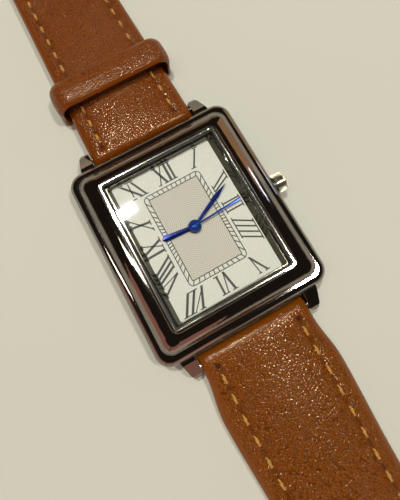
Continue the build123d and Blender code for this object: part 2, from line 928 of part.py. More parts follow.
def hour_hand():
    """Blunt blued hour hand, widest near its tip."""
    tip_start = hour_hand_length - hour_hand_tip_width / 2
    outline = [
        (-hour_hand_root_width / 2, 0),
        (-hour_hand_tip_width / 2, tip_start),
        (-hour_hand_root_width / 4, hour_hand_length),
        (hour_hand_root_width / 4, hour_hand_length),
        (hour_hand_tip_width / 2, tip_start),
        (hour_hand_root_width / 2, 0),
    ]
    return hand(outline, hour_hand_z, hour_hub_radius, hour_pipe_radius + seat_gap / 2, hour_turn)


def minute_hand():
    """Lance-shaped blued minute hand."""
    wide_place_share = 0.72
    wide_y = minute_hand_length * wide_place_share
    outline = [
        (-minute_hand_root_width / 2, 0),
        (-minute_hand_wide / 2, wide_y),
        (0, minute_hand_length),
        (minute_hand_wide / 2, wide_y),
        (minute_hand_root_width / 2, 0),
    ]
    bore = cannon_pipe_radius + seat_gap / 2
    return hand(outline, minute_hand_z, minute_hub_radius, bore, minute_turn)


def second_hand():
    """Thin second hand with a domed hub that covers the arbor."""
    outline = [
        (-second_hand_root_width / 2, 0),
        (-second_hand_tip_width / 2, second_hand_length),
        (second_hand_tip_width / 2, second_hand_length),
        (second_hand_root_width / 2, 0),
    ]
    blade = hand(outline, second_hand_z, second_hub_radius, arbor_radius + seat_gap / 2, second_turn)
    dome_low_z = second_hand_z + hand_thickness
    dome = post(second_hub_radius, 0, 0, dome_low_z, second_hand_z + second_hub_height)
    dome = fillet(dome.edges().group_by(Axis.Z)[-1], (second_hub_height - hand_thickness) * 2 / 3)
    return blade + dome


def coil_core():
    """Soft iron bar through the coil, lying on the stator's two legs."""
    return block(
        -coil_core_length / 2,
        coil_core_length / 2,
        coil_y - coil_core_width / 2,
        coil_y + coil_core_width / 2,
        coil_core_z,
        coil_core_z + stator_thickness,
    )


def coil_winding():
    """Copper winding, as one rounded bobbin shape."""
    winding = block(
        -coil_length / 2,
        coil_length / 2,
        coil_y - coil_width / 2,
        coil_y + coil_width / 2,
        coil_z - coil_height / 2,
        coil_z + coil_height / 2,
    )
    winding = fillet(winding.edges().filter_by(Axis.X), coil_corner_radius)
    return winding - block(
        -coil_length,
        coil_length,
        coil_y - coil_core_width / 2 - seat_gap,
        coil_y + coil_core_width / 2 + seat_gap,
        coil_core_z - seat_gap,
        coil_core_z + stator_thickness + seat_gap,
    )


def stator():
    """Flat iron circuit from both ends of the coil to round the rotor."""
    high_z = stator_low_z + stator_thickness
    low_y = stator_bar_y - stator_bar_width / 2
    high_y = coil_y + coil_core_width / 2
    reach = stator_leg_x + stator_leg_width / 2
    plate = block(-reach, reach, low_y, stator_bar_y + stator_bar_width / 2, stator_low_z, high_z)
    for side in (-1, 1):
        x = side * stator_leg_x
        leg_low_x = x - stator_leg_width / 2
        leg_high_x = x + stator_leg_width / 2
        plate += block(leg_low_x, leg_high_x, low_y, high_y, stator_low_z, high_z)
    return plate - post(stator_hole_radius, rotor_x, rotor_y, 0, plate_top_z)


def battery():
    """Button cell, its wide can up and its smaller cap down at the back."""
    can = post(battery_radius, battery_x, battery_y, battery_low_z + battery_cap_height, plate_top_z)
    cap = post(
        battery_cap_radius, battery_x, battery_y, battery_low_z, battery_low_z + battery_cap_height
    )
    return can + cap


def battery_clamp():
    """Bent spring strip that presses on the cell, screwed to the main plate."""
    high_z = battery_low_z
    low_z = high_z - clamp_thickness
    riser_x = battery_x + battery_radius + clamp_foot_inset
    foot_z = plate_low_z - clamp_thickness
    profile = (
        (riser_x - clamp_reach, low_z),
        (riser_x, low_z),
        (riser_x, foot_z),
        (riser_x + clamp_foot_length, foot_z),
        (riser_x + clamp_foot_length, plate_low_z),
        (riser_x - clamp_thickness, plate_low_z),
        (riser_x - clamp_thickness, high_z),
        (riser_x - clamp_reach, high_z),
    )
    outline = make_face(Polyline(*[(x, battery_y, z) for x, z in profile], close=True))
    strip = extrude(outline, amount=clamp_width / 2, dir=(0, 1, 0), both=True)
    foot_x, foot_y, seat_z = screw_places()[-1]
    return strip - post(screw_shank_radius + seat_gap, foot_x, foot_y, 0, plate_low_z + overrun)


def circuit_board():
    """Small board under the plate, next to the cell."""
    low_z = plate_low_z - board_thickness
    outline = RectangleRounded(board_width, board_length, board_corner_radius)
    board = Pos(board_x, board_y, low_z) * extrude(outline, amount=board_thickness)
    return board - post(screw_shank_radius + seat_gap, board_screw_x, board_screw_y, 0, plate_top_z)


def quartz_can():
    """Metal can of the tuning-fork crystal, lying on the board."""
    low_y = can_y - can_length / 2
    can = rod_y(can_radius, can_x, low_y, low_y + can_length, plate_low_z + can_radius)
    return fillet(can.edges().group_by(Axis.Y)[0], can_radius / 4)


def clutch_pinion():
    """Sliding pinion on the square of the stem, toothed round its edge."""
    low_x = clutch_x - clutch_length / 2
    high_x = clutch_x + clutch_length / 2
    body = rod_x(clutch_radius, low_x, high_x, 0, stem_z)
    cut_width = math.pi * clutch_radius / clutch_teeth
    for tooth in range(clutch_teeth):
        cut = block(
            low_x - overrun,
            clutch_x,
            -cut_width / 2,
            cut_width / 2,
            clutch_radius - clutch_tooth_depth,
            clutch_radius + overrun,
        )
        body -= Pos(0, 0, stem_z) * Rot(360 * tooth / clutch_teeth, 0, 0) * cut
    half = stem_square / 2 + running_gap
    return body - block(low_x - overrun, high_x + overrun, -half, half, stem_z - half, stem_z + half)


def stem():
    """Winding stem with a square, a groove for the lever and a threaded end."""
    end_x = tube_high_x + crown_thread_depth
    half = stem_square / 2
    square = block(stem_square_low_x, stem_square_high_x, -half, half, stem_z - half, stem_z + half)
    groove_low_x = stem_groove_x - stem_groove_width / 2
    groove_high_x = stem_groove_x + stem_groove_width / 2
    near = rod_x(stem_radius, stem_square_high_x, groove_low_x, 0, stem_z)
    groove = rod_x(stem_groove_radius, groove_low_x, groove_high_x, 0, stem_z)
    far = rod_x(stem_radius, groove_high_x, end_x, 0, stem_z)
    return square + near + groove + far


def crown():
    """Knurled crown with a domed end and a socket for the tube."""
    body = rod_x(crown_radius, crown_low_x, crown_high_x, 0, stem_z)
    body = fillet(body.edges().group_by(Axis.X)[-1], crown_dome)
    body = chamfer(body.edges().group_by(Axis.X)[0], crown_knurl_depth)
    for knurl in range(crown_knurls):
        cut = Rot(0, 90, 0) * Cylinder(crown_knurl_depth, crown_length + 2 * overrun)
        turn = Rot(360 * knurl / crown_knurls, 0, 0)
        middle_x = (crown_low_x + crown_high_x) / 2
        body -= Pos(middle_x, 0, stem_z) * turn * Pos(-crown_dome, 0, crown_radius) * cut
    socket_end_x = tube_high_x + stem_pull / 4
    body -= rod_x(tube_radius + running_gap, crown_low_x - overrun, socket_end_x, 0, stem_z)
    seal_low_x = crown_low_x + crown_seal_inset
    seal_high_x = seal_low_x + crown_seal_width
    body -= rod_x(tube_radius + crown_seal_depth, seal_low_x, seal_high_x, 0, stem_z)
    stem_end_x = tube_high_x + crown_thread_depth
    return body - rod_x(stem_radius + seat_gap / 2, crown_low_x, stem_end_x, 0, stem_z)


def crown_gasket():
    """Seal inside the crown, round the tube."""
    low_x = crown_low_x + crown_seal_inset + seat_gap / 2
    high_x = low_x + crown_seal_width - seat_gap
    ring = rod_x(tube_radius + crown_seal_depth - seat_gap, low_x, high_x, 0, stem_z)
    return ring - rod_x(tube_radius + running_gap, low_x - overrun, high_x + overrun, 0, stem_z)


def setting_lever():
    """Lever that follows the stem's groove when the crown is pulled."""
    pivot_x = stem_groove_x + stem_pull / 2
    low_z = plate_top_z + slip_gap
    high_z = low_z + lever_thickness
    arm_length = math.hypot(lever_arm, stem_pull / 2)
    arm = block(-lever_width / 2, lever_width / 2, 0, arm_length, low_z, high_z)
    arm += post(lever_width / 2, 0, 0, low_z, high_z)
    arm += post(lever_width / 2, 0, arm_length, low_z, high_z)
    pin_low_z = stem_z + stem_groove_radius + slip_gap
    arm += post(lever_pin_radius, 0, arm_length, pin_low_z, low_z)
    arm += post(lever_stud_radius, 0, 0, plate_top_z - lever_stud_length + slip_gap, low_z)
    swing = math.degrees(math.atan2(stem_pull / 2, lever_arm))
    return Pos(pivot_x, lever_arm, 0) * Rot(0, 0, 180 - swing) * arm


def strap_bar():
    """Hollow spring bar of the 12 o'clock side."""
    reach = lug_inner_x - strap_bar_end_gap
    bar = rod_x(strap_bar_radius, -reach, reach, strap_bar_y, strap_bar_z)
    bore = strap_bar_radius - strap_bar_wall + seat_gap
    return bar - rod_x(bore, -reach - overrun, reach + overrun, strap_bar_y, strap_bar_z)


def strap_bar_pin():
    """Sprung pin in the crown-side end of the 12 o'clock spring bar."""
    tip_x = lug_inner_x + bar_pin_reach
    pin = rod_x(bar_pin_radius, tip_x - bar_pin_length, tip_x, strap_bar_y, strap_bar_z)
    return fillet(pin.edges().group_by(Axis.X)[-1], bar_pin_radius / 3)


def strap_section(reach, half_width, low_z, edge, crown_height):
    """Cross-section of a strap half: flat below, upright edges, crowned above."""
    y = strap_bar_y + reach
    left = (-half_width, y, low_z)
    right = (half_width, y, low_z)
    right_top = (half_width, y, low_z + edge)
    left_top = (-half_width, y, low_z + edge)
    crown_top = (0, y, low_z + crown_height)
    outline = Curve() + [
        Line(left, right),
        Line(right, right_top),
        ThreePointArc(right_top, crown_top, left_top),
        Line(left_top, left),
    ]
    return make_face(outline)


def strap_loft(stations):
    """Strap body through its cross-sections, straight between neighbours."""
    return loft([strap_section(*station) for station in stations], ruled=True)


def strap_lining_block(stations, start_reach):
    """Lower layer of a strap half, with the same floor and width."""
    layers = []
    for reach, half_width, low_z, edge, crown_height in stations:
        if reach >= start_reach:
            y = strap_bar_y + reach
            corners = (
                (-half_width, y, low_z),
                (half_width, y, low_z),
                (half_width, y, low_z + strap_lining_thickness),
                (-half_width, y, low_z + strap_lining_thickness),
            )
            layers.append(make_face(Polyline(*corners, close=True)))
    return loft(layers, ruled=True)


def blend(low, high, share):
    """Value between two others, easing in and out."""
    eased = (1 - math.cos(math.pi * share)) / 2
    return low + (high - low) * eased


def straight(low, high, share):
    """Value between two others, in proportion."""
    return low + (high - low) * share


def loop_floor_z():
    """Underside of the loop round the strap bar."""
    return strap_bar_z - strap_loop_radius


def short_stations():
    """Sections of the short half, from its loop to the buckle."""
    lug_edge = 2 * strap_loop_radius - 2 * strap_edge_lift
    lug_crown = 2 * strap_loop_radius
    half_lug = strap_lug_width / 2
    half_end = short_end_width / 2
    stations = [(0, half_lug, loop_floor_z(), lug_edge, lug_crown)]
    ramp_shares = (0.5, 1.0)
    for share in ramp_shares:
        reach = strap_plain_reach + (short_ramp - strap_plain_reach) * share
        rise = reach / short_ramp
        low = blend(loop_floor_z(), short_floor_z, rise)
        edge = blend(lug_edge, short_edge_thickness, rise)
        top = blend(lug_crown, short_crown_thickness, rise)
        stations.append((reach, half_lug, low, edge, top))
    body_shares = (0.25, 0.5, 0.75, 1.0)
    for share in body_shares:
        reach = straight(short_ramp, short_length, share)
        half = straight(half_lug, half_end, share)
        edge = straight(short_edge_thickness, short_end_edge_thickness, share)
        top = straight(short_crown_thickness, short_end_crown_thickness, share)
        stations.append((reach, half, short_floor_z, edge, top))
    return stations


def short_solids():
    """Top leather and lining of the short half."""
    stations = short_stations()
    whole = strap_loft(stations)
    lining_start = stations[2][0]
    lining = strap_lining_block(stations, lining_start)
    whole += rod_x(strap_loop_radius, -strap_lug_width / 2, strap_lug_width / 2, strap_bar_y, strap_bar_z)
    whole += rod_x(short_loop_radius, -short_end_width / 2, short_end_width / 2, short_bar_y, short_bar_z)
    lining_end_y = short_bar_y - tongue_slot_depth
    keep = block(
        -strap_lug_width, strap_lug_width, 0, lining_end_y, 0, short_floor_z + strap_lining_thickness
    )
    lining = lining & keep
    top = whole - lining
    top -= rod_x(strap_bar_radius + slip_gap, -lug_gap, lug_gap, strap_bar_y, strap_bar_z)
    top -= rod_x(buckle_bar_radius + slip_gap, -lug_gap, lug_gap, short_bar_y, short_bar_z)
    top -= block(
        -tongue_slot_width / 2,
        tongue_slot_width / 2,
        short_bar_y - tongue_slot_depth,
        short_bar_y + short_length,
        0,
        keeper_height,
    )
    return top, lining


def long_stations():
    """Sections of the long half, from its loop to the tip."""
    lug_edge = 2 * strap_loop_radius - 2 * strap_edge_lift
    lug_crown = 2 * strap_loop_radius
    half_lug = strap_lug_width / 2
    half_flare = long_flare_width / 2
    half_end = long_end_width / 2
    stations = [(0, half_lug, loop_floor_z(), lug_edge, lug_crown)]
    ramp_shares = (0.0, 0.35, 0.7, 1.0)
    for share in ramp_shares:
        reach = straight(strap_plain_reach, long_flare_reach, share)
        drop = min(reach / long_ramp, 1)
        half = straight(half_lug, half_flare, share)
        low = blend(loop_floor_z(), 0, drop)
        edge = blend(lug_edge, long_edge_thickness, drop)
        top = blend(lug_crown, long_crown_thickness, drop)
        stations.append((reach, half, low, edge, top))
    mid_shares = (0.33, 0.67, 1.0)
    mid_along = (long_mid_reach - long_flare_reach) / (long_length - long_flare_reach)
    for share in mid_shares:
        reach = straight(long_flare_reach, long_mid_reach, share)
        half = straight(half_flare, half_end, share * mid_along)
        edge = straight(long_edge_thickness, long_end_edge_thickness, share * mid_along)
        top = blend(long_crown_thickness, long_mid_crown_thickness, share)
        stations.append((reach, half, 0, edge, top))
    edge_mid = straight(long_edge_thickness, long_end_edge_thickness, mid_along)
    half_mid = straight(half_flare, half_end, mid_along)
    end_shares = (0.5, 1.0)
    for share in end_shares:
        reach = straight(long_mid_reach, long_length, share)
        half = straight(half_mid, half_end, share)
        edge = straight(edge_mid, long_end_edge_thickness, share)
        top = straight(long_mid_crown_thickness, long_end_crown_thickness, share)
        stations.append((reach, half, 0, edge, top))
    return stations


def long_tip_trim():
    """Waste beyond the rounded point of the long half."""
    end_y = strap_bar_y + long_length
    start_y = end_y - long_tip_taper
    wide = long_flare_width
    point = [
        (-wide, start_y),
        (-long_end_width / 2 - long_tip_shoulder, start_y),
        (-long_tip_radius, end_y - long_tip_radius / 2),
        (0, end_y),
        (long_tip_radius, end_y - long_tip_radius / 2),
        (long_end_width / 2 + long_tip_shoulder, start_y),
        (wide, start_y),
        (wide, end_y + wide),
        (-wide, end_y + wide),
    ]
    return plan_band(point, -overrun, keeper_height)


def long_solids():
    """Top leather and lining of the long half, drawn on the 12 o'clock side."""
    stations = long_stations()
    whole = strap_loft(stations)
    lining = strap_lining_block(stations, stations[2][0])
    whole += rod_x(strap_loop_radius, -strap_lug_width / 2, strap_lug_width / 2, strap_bar_y, strap_bar_z)
    whole -= long_tip_trim()
    lining -= long_tip_trim()
    for place in range(hole_count):
        y = strap_bar_y + long_length - hole_first_inset - place * hole_pitch
        hole = post(hole_radius, 0, y, -overrun, keeper_height)
        whole -= hole
        lining -= hole
    top = whole - lining
    top -= rod_x(strap_bar_radius + slip_gap, -lug_gap, lug_gap, strap_bar_y, strap_bar_z)
    return top, lining


def keeper(width, depth, height, y, tunnel_floor):
    """Leather loop round the strap."""
    outer = RectangleRounded(width, height, keeper_corner_radius)
    inner = RectangleRounded(
        width - 2 * keeper_wall,
        height - keeper_wall - tunnel_floor,
        keeper_inner_radius,
    )
    ring = outer - Pos(0, (tunnel_floor - keeper_wall) / 2) * inner
    band = extrude(ring, amount=depth / 2, both=True)
    return Pos(0, y, height / 2) * Rot(90, 0, 0) * band


def free_keeper():
    """Keeper that slides along the short half."""
    return keeper(keeper_width, keeper_depth, keeper_height, keeper_y, short_floor_z - 2 * slip_gap)


def fixed_keeper():
    """Keeper that is stitched to the short half near the buckle."""
    y = short_bar_y - fixed_keeper_inset
    share = (y - fixed_keeper_depth - strap_bar_y - short_ramp) / (short_length - short_ramp)
    width_here = straight(strap_lug_width, short_end_width, share)
    width = width_here + 2 * (keeper_wall + 2 * slip_gap)
    return keeper(width, fixed_keeper_depth, fixed_keeper_height, y, short_floor_z - 2 * slip_gap)


def buckle_frame():
    """Curved frame of the buckle, from the arm ends to the cross bar."""
    back_y = short_bar_y - buckle_back_reach
    front_y = cross_bar_y + buckle_cross_depth / 2
    length = front_y - back_y
    outer_width = buckle_inner_width + 2 * buckle_arm_width
    middle_y = (back_y + front_y) / 2
    plan = Pos(0, middle_y, 0) * extrude(
        RectangleRounded(outer_width, length, buckle_corner_radius), amount=keeper_height
    )
    window_high_y = cross_bar_y - buckle_cross_depth / 2
    plan -= block(
        -buckle_inner_width / 2,
        buckle_inner_width / 2,
        back_y - overrun,
        window_high_y,
        -overrun,
        keeper_height + overrun,
    )
    half = buckle_thickness / 2
    middle_z = (short_bar_z + cross_bar_z) / 2 + half / 2
    side = [
        (back_y - overrun, short_bar_z + half),
        (back_y - overrun, short_bar_z - half),
        (short_bar_y, short_bar_z - half),
        ((short_bar_y + cross_bar_y) / 2, middle_z - half),
        (cross_bar_y - buckle_cross_depth / 2, 0),
        (front_y + overrun, 0),
        (front_y + overrun, buckle_thickness),
        (cross_bar_y - buckle_cross_depth / 2, buckle_thickness),
        ((short_bar_y + cross_bar_y) / 2, middle_z + half),
        (short_bar_y, short_bar_z + half),
    ]
    frame = plan & side_band(side, -outer_width, outer_width)
    bar_reach = buckle_inner_width / 2 + buckle_bar_in_arm + seat_gap
    bore = buckle_bar_radius + slip_gap
    return frame - rod_x(bore, -bar_reach, bar_reach, short_bar_y, short_bar_z)


def buckle_bar():
    """Pin through the strap end, the tongue and both arms of the buckle."""
    reach = buckle_inner_width / 2 + buckle_bar_in_arm
    return rod_x(buckle_bar_radius, -reach, reach, short_bar_y, short_bar_z)


def buckle_tongue():
    """Tongue that turns on the bar and rests on the cross bar."""
    half = tongue_hub_length / 2
    hub = rod_x(tongue_hub_radius, -half, half, short_bar_y, short_bar_z)
    tip_y = cross_bar_y + buckle_cross_depth / 2 + tongue_overhang
    rest_z = buckle_thickness + tongue_radius + slip_gap
    rise = short_bar_z - rest_z
    run = cross_bar_y - short_bar_y
    slope = math.degrees(math.atan2(rise, run))
    length = (tip_y - short_bar_y) / math.cos(math.radians(slope))
    shank = rod_y(tongue_radius, 0, 0, length, 0)
    shank = fillet(shank.edges().group_by(Axis.Y)[-1], tongue_radius * 2 / 3)
    shank = Pos(0, short_bar_y, short_bar_z) * Rot(-slope, 0, 0) * shank
    reach = buckle_inner_width / 2
    bore = buckle_bar_radius + slip_gap
    return hub + shank - rod_x(bore, -reach, reach, short_bar_y, short_bar_z)


def to_six(part):
    """Turn a piece of the 12 o'clock side half round to the 6 o'clock side."""
    return Rot(0, 0, 180) * part


save(case_body(), "case_body")
save(crown_tube(), "crown_tube")
save(case_back(), "case_back")
save(case_back_gasket(), "case_back_gasket")
save(bezel(), "bezel")
save(crystal(), "crystal")
save(crystal_gasket(), "crystal_gasket")
save(dial_ring(), "dial_ring")
save(dial(), "dial")
save(hour_hand(), "hour_hand")
save(minute_hand(), "minute_hand")
save(second_hand(), "second_hand")
save(movement_holder(), "movement_holder")
save(main_plate(), "main_plate")
save(train_bridge(), "train_bridge")
save(movement_screws(), "movement_screws")
save(rotor(), "rotor")
save(fifth_wheel(), "fifth_wheel")
save(seconds_wheel(), "seconds_wheel")
save(third_wheel(), "third_wheel")
save(cannon_pinion(), "cannon_pinion")
save(minute_wheel(), "minute_wheel")
save(hour_wheel(), "hour_wheel")
save(coil_core(), "coil_core")
save(coil_winding(), "coil_winding")
save(stator(), "stator")
save(battery(), "battery")
save(battery_clamp(), "battery_clamp")
save(circuit_board(), "circuit_board")
save(quartz_can(), "quartz_can")
save(clutch_pinion(), "clutch_pinion")
save(stem(), "stem")
save(crown(), "crown")
save(crown_gasket(), "crown_gasket")
save(setting_lever(), "setting_lever")

bar = strap_bar()
right_pin = strap_bar_pin()
left_pin = mirror(right_pin, about=Plane.YZ)
save(bar, "strap_bar_12")
save(right_pin, "strap_bar_pin_12_right")
save(left_pin, "strap_bar_pin_12_left")
save(to_six(bar), "strap_bar_6")
save(to_six(left_pin), "strap_bar_pin_6_right")
save(to_six(right_pin), "strap_bar_pin_6_left")

short_top, short_lining = short_solids()
save(short_top, "strap_12_top")
save(short_lining, "strap_12_lining")
long_top, long_lining = long_solids()
save(to_six(long_top), "strap_6_top")
save(to_six(long_lining), "strap_6_lining")
save(free_keeper(), "free_keeper")
save(fixed_keeper(), "fixed_keeper")
save(buckle_frame(), "buckle_frame")
save(buckle_bar(), "buckle_bar")
save(buckle_tongue(), "buckle_tongue")
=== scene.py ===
# %% [markdown]
# A rectangular dress watch on an open leather strap. Its solids come from a CAD model in real
# sizes, already placed: the back of the case lies on the table, X points at the crown, Y at
# 12 o'clock and Z up through the dial. This lesson dresses them. The metal pieces keep their CAD
# shape and get a finish. The leather, the thread and the printing are modelled here, because
# leather never looks right as a plain block. Everything is in metres, so small sizes are written
# in millimetres and multiplied once.

# %% Load the finished frame
import math

import bmesh
import bpy
import numpy as np
from mathutils import Matrix, Vector

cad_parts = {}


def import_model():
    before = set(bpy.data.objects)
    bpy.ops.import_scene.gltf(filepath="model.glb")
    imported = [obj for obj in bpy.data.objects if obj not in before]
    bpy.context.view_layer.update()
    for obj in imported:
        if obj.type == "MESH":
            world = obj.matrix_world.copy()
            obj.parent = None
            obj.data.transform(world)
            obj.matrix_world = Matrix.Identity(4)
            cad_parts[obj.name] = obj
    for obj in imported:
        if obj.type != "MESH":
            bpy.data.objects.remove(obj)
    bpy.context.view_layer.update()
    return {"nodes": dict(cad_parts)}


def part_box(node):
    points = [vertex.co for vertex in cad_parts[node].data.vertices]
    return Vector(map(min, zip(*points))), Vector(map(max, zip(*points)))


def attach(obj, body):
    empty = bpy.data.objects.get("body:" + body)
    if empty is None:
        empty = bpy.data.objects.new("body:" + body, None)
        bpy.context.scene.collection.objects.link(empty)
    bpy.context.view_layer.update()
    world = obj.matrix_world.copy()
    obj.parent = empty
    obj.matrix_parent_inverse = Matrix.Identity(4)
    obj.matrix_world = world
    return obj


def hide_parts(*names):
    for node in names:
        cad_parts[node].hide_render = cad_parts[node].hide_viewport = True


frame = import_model()
MM = 0.001

# %% [markdown]
# The camera. The photograph was taken from close above the dial, leaning a little towards
# 7 o'clock, so the near parts spread out. A camera set far away could never show that. Its
# distance, tilt and lens were worked out from the straight edges of the case. The picture is a
# crop, so the lens axis isn't in its middle, and the shift puts it back.

# %% Camera at the photograph's place
def make_camera():
    data = bpy.data.cameras.new("watch_camera")
    data.sensor_width = 36.0
    data.lens = 32.283
    data.shift_x = 0.036
    data.shift_y = -0.108
    data.clip_start = 2 * MM
    data.clip_end = 20.0
    camera = bpy.data.objects.new("watch_camera", data)
    camera.location = Vector((-6.724, -9.609, 70.616)) * MM
    camera.rotation_euler = [math.radians(v) for v in (13.948, 0.555, -28.832)]
    bpy.context.collection.objects.link(camera)
    bpy.context.scene.camera = camera
    return camera


camera = make_camera()
print("camera height in mm:", round(camera.location.z / MM, 1))

# %% [markdown]
# Materials are made of nodes, so a few short helpers keep each recipe readable. One adds a node
# and fills its sockets by name, one does a sum, one measures the distance from an axis and one
# makes a wave of a given pitch. One makes a noise of a given size in millimetres, one turns a
# height into a bump of a given depth, and the last hands colour, roughness and bump to the shader.
# Patterns are read in object coordinates, which are the real places on the watch, so the grain
# stays the same size on every piece.

# %% Helpers that keep a material recipe short
def add(tree, kind, settings=None, **sockets):
    node = tree.nodes.new(kind)
    for key, value in (settings or {}).items():
        setattr(node, key, value)
    for key, value in sockets.items():
        fill(tree, node.inputs[key.replace("_", " ")], value)
    return node


def fill(tree, socket, value):
    if isinstance(value, bpy.types.NodeSocket):
        tree.links.new(value, socket)
    else:
        socket.default_value = value


def maths(tree, operation, *values):
    node = tree.nodes.new("ShaderNodeMath")
    node.operation = operation
    for socket, value in zip(node.inputs, values):
        fill(tree, socket, value)
    return node.outputs[0]


def reach_of(tree, first, second):
    squares = [maths(tree, "MULTIPLY", value, value) for value in (first, second)]
    return maths(tree, "SQRT", maths(tree, "ADD", *squares))


def wave_of(tree, value, pitch):
    return maths(tree, "SINE", maths(tree, "MULTIPLY", value, 2 * math.pi / pitch))


def place(tree):
    return add(tree, "ShaderNodeTexCoord").outputs["Object"]


def parts_of(tree, vector):
    node = add(tree, "ShaderNodeSeparateXYZ", Vector=vector)
    return node.outputs["X"], node.outputs["Y"], node.outputs["Z"]


# %% Helpers for noise, ramps and bumps
def noise(tree, size_mm, detail=3.0, rough=0.55, stretch=(1, 1, 1)):
    spot = add(tree, "ShaderNodeVectorMath", {"operation": "MULTIPLY"})
    fill(tree, spot.inputs[0], place(tree))
    spot.inputs[1].default_value = stretch
    node = add(tree, "ShaderNodeTexNoise", Vector=spot.outputs[0], Scale=1 / (size_mm * MM))
    node.inputs["Detail"].default_value = detail
    node.inputs["Roughness"].default_value = rough
    return node.outputs["Fac"]


def ease(tree, value, low, high, to_low=0.0, to_high=1.0):
    node = add(tree, "ShaderNodeMapRange", {"interpolation_type": "SMOOTHSTEP"}, Value=value)
    for name, number in zip(("From Min", "From Max", "To Min", "To Max"), (low, high, to_low, to_high)):
        node.inputs[name].default_value = number
    return node.outputs["Result"]


def shades(tree, value, *stops):
    node = add(tree, "ShaderNodeValToRGB", Fac=value)
    ramp = node.color_ramp
    while len(ramp.elements) < len(stops):
        ramp.elements.new(0.5)
    for element, (at, colour) in zip(ramp.elements, stops):
        element.position = at
        element.color = (*colour, 1)
    return node.outputs["Color"]


def blend_colour(tree, share, first, second):
    node = add(tree, "ShaderNodeMix", {"data_type": "RGBA"})
    fill(tree, node.inputs["Factor"], share)
    for name, value in (("A", first), ("B", second)):
        socket = [s for s in node.inputs if s.name == name and s.type == "RGBA"][0]
        fill(tree, socket, value if isinstance(value, bpy.types.NodeSocket) else (*value, 1))
    return [s for s in node.outputs if s.type == "RGBA"][0]


def relief(tree, height, depth_mm, strength, under=None):
    node = add(tree, "ShaderNodeBump", Height=height, Distance=depth_mm * MM)
    fill(tree, node.inputs["Strength"], strength)
    if under is not None:
        fill(tree, node.inputs["Normal"], under)
    return node.outputs["Normal"]


def start_finish(name, **sockets):
    material = bpy.data.materials.new(name)
    material.use_nodes = True
    tree = material.node_tree
    shader = tree.nodes["Principled BSDF"]
    for key, value in sockets.items():
        fill(tree, shader.inputs[key.replace("_", " ")], value)
    return material, tree, shader


def set_surface(tree, shader, colour, roughness, normal):
    for name, value in (("Base Color", colour), ("Roughness", roughness), ("Normal", normal)):
        fill(tree, shader.inputs[name], value)


print("helpers ready")

# %% [markdown]
# The case, the bezel and the buckle are plated in dark gunmetal and polished like a mirror. A
# mirror's colour is its reflection tint, so the metal itself is nearly black, and the brightness
# comes from the lamps and from what stands round it. A mirror with no fault looks like a computer
# picture, so slow changes of tint, a little uneven gloss and hair-fine wear are added. The lip of
# the bezel round the crystal is left brighter, which the same recipe paints by distance.

# %% Gunmetal, plain and with the bright lip
LIP_WIDTH, LIP_HEIGHT, LIP_FADE = 0.26 * MM, 0.16 * MM, 0.05 * MM
CRYSTAL_GAP = 0.25 * MM
SOFT_EDGE = 0.10 * MM
LIP_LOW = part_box("bezel")[1].z - LIP_HEIGHT
LIP_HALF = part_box("crystal")[1].xy + Vector((CRYSTAL_GAP, CRYSTAL_GAP))
print("crystal opening half size in mm:", [round(v / MM, 2) for v in LIP_HALF])


def beyond_opening(tree):
    x, y, _ = parts_of(tree, place(tree))
    out_x = maths(tree, "SUBTRACT", maths(tree, "ABSOLUTE", x), LIP_HALF.x)
    out_y = maths(tree, "SUBTRACT", maths(tree, "ABSOLUTE", y), LIP_HALF.y)
    return maths(tree, "MAXIMUM", out_x, out_y)


def gunmetal(name, banded=False):
    material, tree, shader = start_finish(name, Metallic=1.0)
    slow = noise(tree, 6.0, 2.0, 0.5)
    tint = shades(tree, slow, (0.3, (0.250, 0.228, 0.214)), (0.7, (0.310, 0.276, 0.256)))
    fine = noise(tree, 0.35, 4.0, 0.6, (1, 4, 1))
    gloss = ease(tree, fine, 0.3, 0.8, 0.03, 0.075)
    if banded:
        lip = ease(tree, beyond_opening(tree), LIP_WIDTH, LIP_WIDTH * 0.8)
        height = parts_of(tree, place(tree))[2]
        lip = maths(tree, "MULTIPLY", lip, ease(tree, height, LIP_LOW - LIP_FADE, LIP_LOW))
        tint = blend_colour(tree, lip, tint, (0.66, 0.65, 0.55))
        gloss = maths(tree, "MAXIMUM", gloss, maths(tree, "MULTIPLY", lip, 0.13))
    soft_edge = add(tree, "ShaderNodeBevel", {"samples": 4}, Radius=SOFT_EDGE).outputs["Normal"]
    set_surface(tree, shader, tint, gloss, relief(tree, fine, 0.0015, 0.2, soft_edge))
    return material


gunmetal_plain = gunmetal("gunmetal_polish")
gunmetal_banded = gunmetal("gunmetal_polish_bright_lip", banded=True)

# %% [markdown]
# The sloping ring round the dial and the small steel parts are silver. Turned parts
# carry fine rings from the lathe, and rolled or stamped ones a straight grain, so one recipe
# takes the direction of its grain. A long thin noise does both: stretched along one axis it
# looks like brushing.

# %% Silver and steel
BRUSH_DEPTH = 0.003


def bright_metal(name, dark, light, rough, grain=(1, 12, 1), size_mm=0.5):
    material, tree, shader = start_finish(name, Metallic=1.0)
    lines = noise(tree, size_mm, 4.0, 0.6, grain)
    tone = shades(tree, noise(tree, 2.5, 2.0), (0.35, dark), (0.65, light))
    matt = ease(tree, lines, 0.3, 0.7, *rough)
    set_surface(tree, shader, tone, matt, relief(tree, lines, BRUSH_DEPTH, 0.4))
    return material


